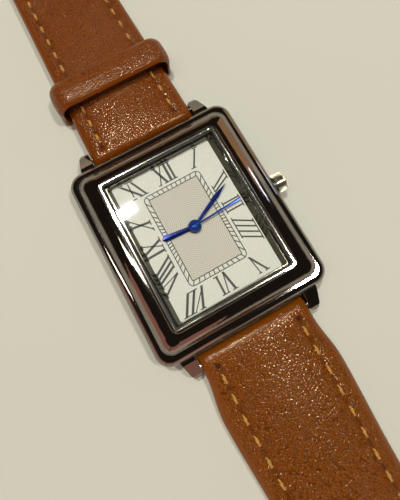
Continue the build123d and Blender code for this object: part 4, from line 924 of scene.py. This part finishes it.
def cutters(info, lining=False):
    side = info["side"]
    found = [rod_cutter(PUNCHED, (0, side * (BAR_Y + at), 1), (0, 0, 1), 12) for at in info["holes"]]
    if not lining:
        found.append(rod_cutter(SPRING_BAR, (0, side * BAR_Y, BAR_Z), (1, 0, 0), 30))
        if side > 0:
            found.append(rod_cutter(BUCKLE_BAR, (0, BAR_Y + SHORT, BUCKLE_BAR_Z), (1, 0, 0), 30))
            found.append(slot_cutter(info))
    return found


def paint(obj, info):
    mesh = obj.data
    points = np.empty(len(mesh.vertices) * 3, np.float32)
    mesh.vertices.foreach_get("co", points)
    x, y = (points.reshape(-1, 3) / MM).T[:2]
    reach = info["side"] * y - BAR_Y
    half = info["half"](np.clip(reach, 0, info["length"]))
    near, full = info["plain_end"]
    pebble = eased(0, 1, (half - np.abs(x) - PLAIN_EDGE) / PLAIN_FADE)
    pebble = pebble * eased(0, 1, (reach - near) / (full - near))
    pebble = pebble * eased(1, 0, (reach - info["length"] + 2.5) / 1.5)
    pebble = pebble * eased(0, 1, (hole_distance(info, x, reach) - 1.0) / 0.5)
    # painted shade for the leather: darker along each row of stitches, most between stitches, and round each
    # punched hole
    within = (reach - info["row_from"]) % info["pitch"]
    gap = np.where((within > info["dash"] + 0.1) & (within < info["pitch"] - 0.1), 1.0, 0.25)
    live = (reach > info["row_from"] - 1.7) & (reach < info["row_to"] + 0.3)
    shade = np.exp(-((np.abs(x) - info["row"](reach)) / SHADE_WIDE) ** 2) * gap * live * SHADE_DARK
    shade = np.maximum(shade, eased(0.7, 0, (hole_distance(info, x, reach) - 0.93) / 0.15))
    for name, values in (("pebble", pebble), ("stitch_shade", shade)):
        layer = mesh.attributes.new(name, "FLOAT", "POINT")
        layer.data.foreach_set("value", values.astype(np.float32))
    return float(pebble.mean())


print("cutters of the long half:", len(cutters(HALVES["6"])))

# %% Make the two uppers
def make_upper(name):
    info = HALVES[name]
    obj = closed_sheet(f"strap_{name}_padded_upper", info, *upper_grid(info), strap_leather)
    cut(obj, cutters(info))
    share = paint(obj, info)
    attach(obj, info["body"])
    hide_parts(f"strap_{name}_top")
    print(obj.name, "points:", len(obj.data.vertices), "pebbled share:", round(share, 2))


for name in HALVES:
    make_upper(name)

# %% [markdown]
# The lining is a flat strip, cut a little narrower than the upper so that a thin seam shows from
# the side. It starts where the upper has come off the bar.

# %% Make the two linings
LINING_STEP, LINING_INSET = 0.8, 0.12
TIP_STATIONS = LONG - np.array([0.9, 0.45, 0.2, 0.08, 0.02])
LINING_ACROSS = np.array([-1, -0.995, -0.97, -0.9, -0.6, -0.3, 0, 0.3, 0.6, 0.9, 0.97, 0.995, 1])


def make_lining(name):
    info = HALVES[name]
    start, stop = info["lining_from"], info["lining_to"]
    reach = np.concatenate([[start], np.arange(start + LINING_STEP, stop - 0.3, LINING_STEP)])
    ends = np.array([stop - 0.02]) if info["side"] > 0 else TIP_STATIONS
    reach = np.sort(np.concatenate([reach[reach < min(ends)], ends]))[:, None]
    s = LINING_ACROSS[None, :]
    x = s * (info["half"](reach) - LINING_INSET)
    floor = info["levels"](reach)[0] + 0 * x
    top = floor + LINING_THICK - 0.10 * np.clip((np.abs(s) - 0.97) / 0.03, 0, 1)
    obj = closed_sheet(
        f"strap_{name}_under_leather", info, x, reach + 0 * x, top, floor + 0.02, under_leather, 0.1
    )
    cut(obj, cutters(info, lining=True))
    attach(obj, info["body"])
    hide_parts(f"strap_{name}_lining")
    print(obj.name, "points:", len(obj.data.vertices))


for name in HALVES:
    make_lining(name)

# %% [markdown]
# The stitches. A golden line drawn on the leather would look flat, so each visible stitch is a
# short piece of thread: two twisted plies that rise out of one hole, lie in the groove and dive
# into the next. They follow the groove's own line, and at the tip the two rows meet. On the
# lining the stitches lie between those above, pulled in nearly flush.

# %% One stitch of two twisted plies
PLY, PLY_SIDES, OFFSET, TURNS = 0.15, 7, 0.10, 1.1
STITCH_STEPS = 9


def ply(points, phase):
    t = np.linspace(0, 1, STITCH_STEPS)
    along = np.gradient(points, axis=0)
    along /= np.linalg.norm(along, axis=1, keepdims=True)
    across = np.cross(along, (0, 0, 1))
    across /= np.linalg.norm(across, axis=1, keepdims=True)
    up = np.cross(across, along)
    turn = (2 * np.pi * TURNS * t + phase)[:, None]
    centre = points + OFFSET * (across * np.cos(turn) + up * np.sin(turn))
    fat = (PLY * (0.75 + 0.25 * np.sin(np.pi * t)))[:, None, None]
    spin = np.linspace(0, 2 * np.pi, PLY_SIDES, endpoint=False)[None, :, None]
    rim = centre[:, None, :] + fat * (across[:, None, :] * np.cos(spin) + up[:, None, :] * np.sin(spin))
    last = (STITCH_STEPS - 1) * PLY_SIDES
    ends = [tuple(range(PLY_SIDES)), tuple(last + c for c in reversed(range(PLY_SIDES)))]
    return rim.reshape(-1, 3), tube_faces(STITCH_STEPS, PLY_SIDES) + ends


def stitch(start, end, lift=0.17, sink=0.24):
    t = np.linspace(0, 1, STITCH_STEPS)[:, None]
    line = start + (end - start) * t
    line[:, 2] += (lift + sink) * np.sin(np.pi * t[:, 0]) ** 0.45 - sink
    return [ply(line, phase) for phase in (0.0, np.pi)]


def join_parts(parts):
    points, faces, base = [], [], 0
    for some, ring in parts:
        points.append(some)
        faces += [tuple(i + base for i in face) for face in ring]
        base += len(some)
    return np.concatenate(points), faces


print("points in one stitch:", sum(len(p) for p, _ in stitch(np.zeros(3), np.array([0, 2.0, 0]))))

# %% Rows of stitches on both faces
def row_line(info, side_x, under):
    reach = np.arange(info["row_from"], info["row_to"] + 0.05, 0.1)
    x = side_x * info["row"](reach)
    if under:
        z = info["levels"](reach)[0] + 0.25
    else:
        z = top_height(info, x, reach)
    line = np.stack([x, info["side"] * (BAR_Y + reach), z], -1)
    far = np.concatenate([[0], np.cumsum(np.linalg.norm(np.diff(line, axis=0), axis=1))])
    return line, far


def at_length(line, far, s):
    return np.array([np.interp(s, far, line[:, k]) for k in range(3)])


def make_stitches(name, under):
    info = HALVES[name]
    parts, count = [], 0
    for side_x in (-1, 1):
        line, far = row_line(info, side_x, under)
        start = info["pitch"] / 2 if under else 0.0
        for s in np.arange(start, far[-1] - info["dash"], info["pitch"]):
            if under and line[0][1] * info["side"] + s < BAR_Y + info["lining_from"] + 0.4:
                continue
            ends = [at_length(line, far, v) for v in (s, s + info["dash"])]
            parts += stitch(*ends, lift=-0.02, sink=-0.22) if under else stitch(*ends)
            count += 1
    points, faces = join_parts(parts)
    label = "under_stitches" if under else "stitches"
    obj = new_mesh(f"strap_{name}_{label}", points * MM, faces, gold_thread, 60)
    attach(obj, info["body"])
    print(obj.name, "stitches:", count)


for name in HALVES:
    for under in (False, True):
        make_stitches(name, under)

# %% [markdown]
# The first stitch of each row leaves a small dark hole beside the case, where the awl went
# through. It is a shallow oval dish set into the groove, coloured nearly black as painted shade
# for the depth of the hole.

# %% Awl holes at the starts of the rows
AWL_BEFORE_ROW, AWL_SIDES = 1.65, 20
AWL_RINGS = [(0.54, 0.05), (0.42, 0.05), (0.20, -0.03)]


def make_awl_holes(name):
    info = HALVES[name]
    reach = info["row_from"] - AWL_BEFORE_ROW
    turn = np.linspace(0, 2 * np.pi, AWL_SIDES, endpoint=False)
    bottom = tuple(range(2 * AWL_SIDES, 3 * AWL_SIDES))
    parts = []
    for side_x in (-1, 1):
        x = side_x * info["row"](reach)
        z = float(top_height(info, np.array(x), np.array(reach)))
        points = [
            (x + r * 0.75 * np.cos(a), info["side"] * (BAR_Y + reach + r * 1.45 * np.sin(a)), z + dz)
            for r, dz in AWL_RINGS for a in turn
        ]
        parts.append((np.array(points), tube_faces(len(AWL_RINGS), AWL_SIDES) + [bottom]))
    points, faces = join_parts(parts)
    obj = new_mesh(f"strap_{name}_awl_holes", points * MM, faces, hole_shade_finish, 80)
    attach(obj, info["body"])
    print(obj.name, "points:", len(points))


for name in HALVES:
    make_awl_holes(name)

# %% [markdown]
# The keepers are closed leather bands. A band's own section is a flat pad with rolled edges,
# and that section is carried round a rounded rectangle that hugs the strap.

# %% Free and fixed keeper
KEEPER_WALL, KEEPER_ROLL_WIDE, KEEPER_ROLL_DEEP = 0.9, 0.95, 0.42
KEEPER_ACROSS, CORNER_STEPS, SIDE_STEP = 27, 14, 0.5


def loop_path(half, low, high, top_round, low_round):
    corners = [
        (half - low_round, low + low_round, low_round, -90),
        (half - top_round, high - top_round, top_round, 0),
        (-half + top_round, high - top_round, top_round, 90),
        (-half + low_round, low + low_round, low_round, 180),
    ]
    points, outward = [], []
    for cx, cz, r, start in corners:
        for a in np.radians(np.linspace(start, start + 90, CORNER_STEPS)):
            points.append((cx + r * np.cos(a), cz + r * np.sin(a)))
            outward.append((np.cos(a), np.sin(a)))
    line, normal = [], []
    count = len(points)
    for i in range(count):
        p, q = np.array(points[i]), np.array(points[(i + 1) % count])
        pieces = max(1, int(np.linalg.norm(q - p) / SIDE_STEP))
        for t in np.arange(pieces) / pieces:
            line.append(p + (q - p) * t)
            n = np.array(outward[i]) * (1 - t) + np.array(outward[(i + 1) % count]) * t
            normal.append(n / np.linalg.norm(n))
    return np.array(line), np.array(normal)


def band_section(width, crown):
    half = width / 2
    w = half * np.sin(np.linspace(-np.pi / 2, np.pi / 2, KEEPER_ACROSS))
    edge = half - np.abs(w)
    t = np.clip((KEEPER_ROLL_WIDE - edge) / KEEPER_ROLL_WIDE, 0, 1)
    outer = crown * (w / half) ** 2 + KEEPER_ROLL_DEEP * (1 - np.sqrt(1 - t ** 2))
    back = half * np.array([0.985, 0.9, 0.5, 0.0, -0.5, -0.9, -0.985])
    inner = KEEPER_WALL - np.array([0.08, 0, 0, 0, 0, 0, 0.08])
    mask = eased(0, 1, (edge - 0.20) / 0.6)
    mask = np.concatenate([mask, np.zeros(len(back))])
    return np.concatenate([w, back]), np.concatenate([outer, inner]), mask


def make_keeper(name, node, body, top_round, low_round, crown):
    low, high = (np.array(corner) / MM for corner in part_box(node))
    line, normal = loop_path((high[0] - low[0]) / 2, low[2], high[2], top_round, low_round)
    across, depth, mask = band_section(high[1] - low[1], crown)
    middle = (low[1] + high[1]) / 2
    count = len(across)
    upper = np.clip(line[:, 1] - low[2] - 0.5, 0, 1)[:, None]
    inset = depth[None, :] * (0.35 + 0.65 * upper)
    inset = np.where(depth[None, :] > 0.8, depth[None, :], inset)
    points = [
        (line[i, 0] - normal[i, 0] * inset[i, k], middle + across[k], line[i, 1] - normal[i, 1] * inset[i, k])
        for i in range(len(line)) for k in range(count)
    ]
    faces = tube_faces(len(line), count, closed=True)
    obj = new_mesh(name, np.array(points) * MM, faces, strap_leather, 50)
    for label, values in (("pebble", np.tile(mask, len(line))), ("stitch_shade", np.zeros(len(points)))):
        obj.data.attributes.new(label, "FLOAT", "POINT").data.foreach_set("value", values.astype(np.float32))
    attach(obj, body)
    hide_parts(node)
    print(name, "points:", len(points))


make_keeper("free_keeper_band", "free_keeper", "keeper_set", 2.6, 1.3, 0.28)
make_keeper("fixed_keeper_band", "fixed_keeper", "strap_12", 2.2, 1.0, 0.15)

# %% [markdown]
# The dial printing. Ink stands a hundredth of a millimetre proud of a dial, so each stroke is a
# very thin plate. Roman numerals are spread over the four sides and read from the middle: the
# strokes of each one lean towards the centre and end in serifs that run along the dial's edge.
# A stroke is given by its two ends and its width, and the letter x or y says along which axis its
# ends are cut. A serif is given by its place and its two ends.

# %% Strokes as thin plates
INK_LOW, INK_TOP = 4.594, 4.612
INK_SPREAD, SERIF_THICK = 1.22, 0.17


def plate(corners, top=INK_TOP):
    n = len(corners)
    points = [(x, y, INK_LOW) for x, y in corners] + [(x, y, top) for x, y in corners]
    faces = [tuple(range(n, 2 * n))] + [(i, (i + 1) % n, n + (i + 1) % n, n + i) for i in range(n)]
    return np.array(points), faces


def stroke(x1, y1, x2, y2, width, cut_way):
    length = math.hypot(x2 - x1, y2 - y1) * INK_SPREAD
    if cut_way == "x":
        h = width * length / abs(y2 - y1) / 2
        return plate([(x1 - h, y1), (x1 + h, y1), (x2 + h, y2), (x2 - h, y2)])
    h = width * length / abs(x2 - x1) / 2
    return plate([(x1, y1 - h), (x1, y1 + h), (x2, y2 + h), (x2, y2 - h)])


def serif(cut_way, at, start, end):
    h = SERIF_THICK / 2
    if cut_way == "x":
        return plate([(start, at - h), (end, at - h), (end, at + h), (start, at + h)], INK_TOP - 0.001)
    return plate([(at - h, start), (at + h, start), (at + h, end), (at - h, end)], INK_TOP - 0.001)


print("plate points:", len(stroke(0, 0, 0, 1, 0.1, "x")[0]))

# %% Table of the twelve numerals, in millimetres from the dial's centre
NUMERALS = {
    "XII": ("x", [(-1.29, 11.0, -0.23, 8.05, .30), (-0.18, 10.9, -1.35, 8.05, .14),
                  (0.45, 8.05, 0.45, 10.95, .33), (1.12, 8.05, 1.12, 10.95, .28)],
            [(8.05, -1.7, -1.15), (8.05, -0.65, 1.55), (10.95, -1.65, -0.9), (10.95, -0.45, 1.5)]),
    "I": ("x", [(4.41, 8.1, 5.94, 10.75, .22)], [(8.08, 3.95, 4.8), (10.9, 5.6, 6.4)]),
    "II": ("y", [(5.41, 3.76, 8.06, 5.29, .2), (5.41, 3.2, 8.06, 4.47, .2)],
           [(5.35, 3.1, 4.25), (8.12, 4.2, 5.75)]),
    "III": ("y", [(5.35, 0.95, 8.1, 0.95, .2), (5.35, 0.32, 8.1, 0.32, .2), (5.35, -0.42, 8.1, -0.42, .2)],
            [(5.35, -0.75, 1.35), (8.12, -0.75, 1.3)]),
    "IIII": ("y", [(5.41, -1.82, 8.06, -3.38, .2), (5.41, -2.78, 8.06, -4.28, .2),
                   (5.41, -3.74, 8.06, -5.2, .2), (5.41, -4.65, 8.06, -6.12, .2)],
             [(5.38, -4.95, -1.45), (8.15, -6.5, -3.0)]),
    "V": ("x", [(4.65, -7.76, 6.29, -10.53, .25), (4.76, -8.1, 5.12, -10.53, .14)],
          [(-10.55, 4.85, 5.35), (-10.55, 5.9, 6.7)]),
    "VI": ("x", [(-0.88, -7.94, -0.94, -10.7, .25), (0.29, -7.76, 0.82, -10.65, .3),
                 (0.29, -7.76, -0.35, -10.65, .14)],
           [(-7.95, -1.4, -0.6), (-10.72, -1.35, -0.1), (-10.72, 0.35, 1.25)]),
    "VII": ("x", [(-5.65, -8.06, -7.35, -10.88, .3), (-4.6, -8.06, -6.35, -10.82, .3),
                  (-3.35, -7.94, -4.6, -10.82, .3), (-3.8, -8.65, -5.75, -10.8, .12)],
            [(-8.02, -5.85, -4.15), (-10.9, -7.75, -5.65), (-10.9, -5.1, -4.2)]),
    "VIII": ("y", [(-5.53, -2.0, -8.3, -3.65, .28), (-5.53, -2.82, -8.3, -4.35, .28),
                   (-5.53, -3.6, -8.3, -5.0, .28), (-5.47, -4.7, -8.3, -5.6, .13),
                   (-5.47, -4.7, -8.3, -6.8, .25)],
             [(-5.5, -3.85, -1.65), (-8.32, -5.95, -3.3), (-8.32, -7.3, -6.4)]),
    "IX": ("y", [(-5.53, -0.82, -8.3, -0.88, .3), (-5.53, 0.82, -8.3, -0.2, .3),
                 (-5.53, -0.18, -8.3, 1.05, .14)],
           [(-5.5, 0.5, 1.35), (-5.5, -1.25, 0.1), (-8.32, 0.6, 1.3), (-8.32, -1.25, 0.15)]),
    "X": ("y", [(-5.53, 3.88, -8.3, 4.24, .3), (-5.53, 2.7, -8.3, 5.4, .15)],
          [(-5.5, 3.4, 4.25), (-5.5, 2.4, 2.95), (-8.3, 3.85, 4.7), (-8.3, 5.1, 5.65)]),
    "XI": ("x", [(-4.65, 8.06, -7.0, 10.76, .28), (-5.82, 8.35, -5.82, 10.7, .15),
                 (-3.94, 8.06, -5.24, 10.76, .25)],
           [(8.0, -5.0, -3.55), (8.0, -6.15, -5.5), (10.9, -7.4, -6.55), (10.9, -6.2, -4.9)]),
}

ink = []
for way, strokes, serifs in NUMERALS.values():
    ink += [stroke(*row, way) for row in strokes] + [serif(way, *row) for row in serifs]
print("numerals:", len(NUMERALS), "plates:", len(ink))

# %% [markdown]
# Between the numerals and the hands runs the minute track: two frames with sixty rungs, one
# every six degrees. Each rung points at the centre and stops where its ray meets the frames.

# %% Minute track and the printed dial
INNER_FRAME, INNER_ROUND = (4.13, 6.83), 0.071
OUTER_FRAME, OUTER_ROUND = (4.80, 7.52), 0.75
FRAME_LINE, RUNG_HALF = 0.14, 0.075


def rounded_frame(half_x, half_y, radius, steps=9):
    middle = []
    for cx, cy, start in ((1, 1, 0), (-1, 1, 90), (-1, -1, 180), (1, -1, 270)):
        for a in np.radians(np.linspace(start, start + 90, steps)):
            middle.append((cx * (half_x - radius), cy * (half_y - radius), np.cos(a), np.sin(a)))
    inner, outer = [
        [(x + c * r, y + s * r) for x, y, c, s in middle]
        for r in (radius - FRAME_LINE / 2, radius + FRAME_LINE / 2)
    ]
    plates = []
    for i in range(len(middle)):
        j = (i + 1) % len(middle)
        plates.append(plate([inner[i], outer[i], outer[j], inner[j]], INK_TOP - 0.002))
    return plates


def ray_end(angle, half_x, half_y, radius):
    dx, dy = abs(math.sin(angle)), abs(math.cos(angle))
    far = min(half_x / max(dx, 1e-9), half_y / max(dy, 1e-9))
    for _ in range(60):
        qx, qy = far * dx - half_x + radius, far * dy - half_y + radius
        off = math.hypot(max(qx, 0), max(qy, 0)) + min(max(qx, qy), 0) - radius
        far -= off * 0.9
    return far


def rung(minute):
    angle = math.radians(6 * minute)
    near, far = ray_end(angle, *INNER_FRAME, 0.0), ray_end(angle, *OUTER_FRAME, OUTER_ROUND)
    d = np.array((math.sin(angle), math.cos(angle)))
    side = np.array((math.cos(angle), -math.sin(angle))) * RUNG_HALF
    return plate([d * near - side, d * near + side, d * far + side, d * far - side])


ink += rounded_frame(*OUTER_FRAME, OUTER_ROUND) + rounded_frame(*INNER_FRAME, INNER_ROUND, steps=2)
ink += [rung(minute) for minute in range(60)]
points, faces = join_parts(ink)
printing = new_mesh("dial_printing", points * MM, faces, numeral_ink, 20)
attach(printing, "case")
print("dial printing points:", len(points))

# %% [markdown]
# The table is a plain pale sheet, far larger than the watch. The lamps hang 0.6 m above it, so
# their light thins out with distance. To a ray from the camera, or from metal or glass, the far
# table glows by just the share that they no longer light, and it looks even up to the horizon.
# Two small bright lamps, one past 12 o'clock and one past 3, make the crisp glints on crystal,
# metal and leather and throw the shadows. A wide soft light fills those shadows, and isn't
# mirrored, because polished metal would turn white all over. A long strip near 9 o'clock gives
# the slopes their streak, and a weak bluish lamp low at 3 o'clock gives the cool one beside the
# crown. Metal only looks like metal when it has something to mirror, so a few dim brown cards
# stand low round the watch, as a photographer would put them. They are area lamps too weak to
# light anything, and the camera never sees them. The room is pale at the horizon, like the table,
# and dark overhead.

# %% Table, lights and surroundings
FAR_PALE = (0.645, 0.604, 0.479)
LAMP_HEIGHT = 0.60


def table_finish():
    material, tree, shader = start_finish("pale_table")
    cloud = noise(tree, 40.0, 2.0)
    far = add(tree, "ShaderNodeVectorMath", {"operation": "LENGTH"}, Vector=place(tree)).outputs["Value"]
    ray = add(tree, "ShaderNodeLightPath")
    seen = maths(tree, "MAXIMUM", ray.outputs["Is Camera Ray"], ray.outputs["Is Glossy Ray"])
    seen = maths(tree, "MAXIMUM", seen, ray.outputs["Is Transmission Ray"])
    shader.inputs["Emission Color"].default_value = (*FAR_PALE, 1)
    slant = maths(tree, "ADD", maths(tree, "POWER", maths(tree, "DIVIDE", far, LAMP_HEIGHT), 2.0), 1.0)
    unlit = maths(tree, "SUBTRACT", 1.0, maths(tree, "POWER", slant, -2.0))
    fill(tree, shader.inputs["Emission Strength"], maths(tree, "MULTIPLY", seen, unlit))
    pale = shades(tree, cloud, (0.2, (0.600, 0.610, 0.525)), (0.8, (0.620, 0.630, 0.545)))
    fill(tree, shader.inputs["Base Color"], pale)
    fill(tree, shader.inputs["Roughness"], 0.8)
    return material


TABLE_HALF, TABLE_Z = 8.0, -0.02 * MM
signs = ((-1, -1), (1, -1), (1, 1), (-1, 1))
corners = [(x * TABLE_HALF, y * TABLE_HALF, TABLE_Z) for x, y in signs]
table = new_mesh("table", corners, [(0, 1, 2, 3)], table_finish())


def panel(name, toward, far, size, glow, colour=(1, 1, 1), mirrored=True):
    data = bpy.data.lights.new(name, "AREA")
    data.shape = "RECTANGLE"
    data.size, data.size_y = size
    data.energy = glow * math.pi * size[0] * size[1]
    data.color = colour
    lamp = bpy.data.objects.new(name, data)
    lamp.location = Vector(toward).normalized() * far
    lamp.rotation_euler = Vector(toward).to_track_quat("Z", "Y").to_euler()
    lamp.visible_camera = False
    lamp.visible_glossy = mirrored
    bpy.context.collection.objects.link(lamp)
    return lamp


RED_BROWN, GOLD_BROWN = (1.0, 0.46, 0.34), (1.0, 0.56, 0.26)
panels = [
    panel("ceiling_lamp", (-0.036, 0.2586, 1.00), 0.60, (0.034, 0.012), 1080.0, (1.0, 0.97, 0.90)),
    panel("lamp_past_3", (0.28, -0.10, 1.00), 0.60, (0.036, 0.036), 280.0, (1.0, 0.95, 0.87)),
    panel("soft_light", (0.10, 0.15, 1.00), 0.60, (0.45, 0.45), 0.95, mirrored=False),
    panel("strip_at_9", (-0.43, 0.14, 1.00), 0.55, (0.03, 0.20), 16.0, (1.0, 0.95, 0.80)),
    panel("lamp_at_3", (0.95, 0.17, 0.55), 0.55, (0.05, 0.04), 7.0, (0.62, 0.74, 1.0)),
    panel("brown_card_at_9", (-0.90, -0.30, 0.42), 0.46, (0.40, 0.26), 0.55, RED_BROWN),
    panel("brown_card_at_6", (-0.32, -0.90, 0.38), 0.46, (0.34, 0.24), 0.55, RED_BROWN),
    panel("gold_card_at_2", (0.85, 0.36, 0.48), 0.46, (0.18, 0.22), 0.7, GOLD_BROWN),
    panel("brown_card_at_12", (0.10, 0.90, 0.30), 0.46, (0.60, 0.14), 0.30, GOLD_BROWN),
]
world_light = bpy.data.worlds.new("room")
world_light.use_nodes = True
sky = world_light.node_tree
height = parts_of(sky, add(sky, "ShaderNodeTexCoord").outputs["Generated"])[2]
wall = blend_colour(sky, ease(sky, height, 0.08, 0.34), FAR_PALE, (0.030, 0.022, 0.017))
fill(sky, sky.nodes["Background"].inputs["Color"], wall)
bpy.context.scene.world = world_light
bpy.context.scene.view_settings.view_transform = "Standard"
print("lights:", [lamp.name for lamp in panels])
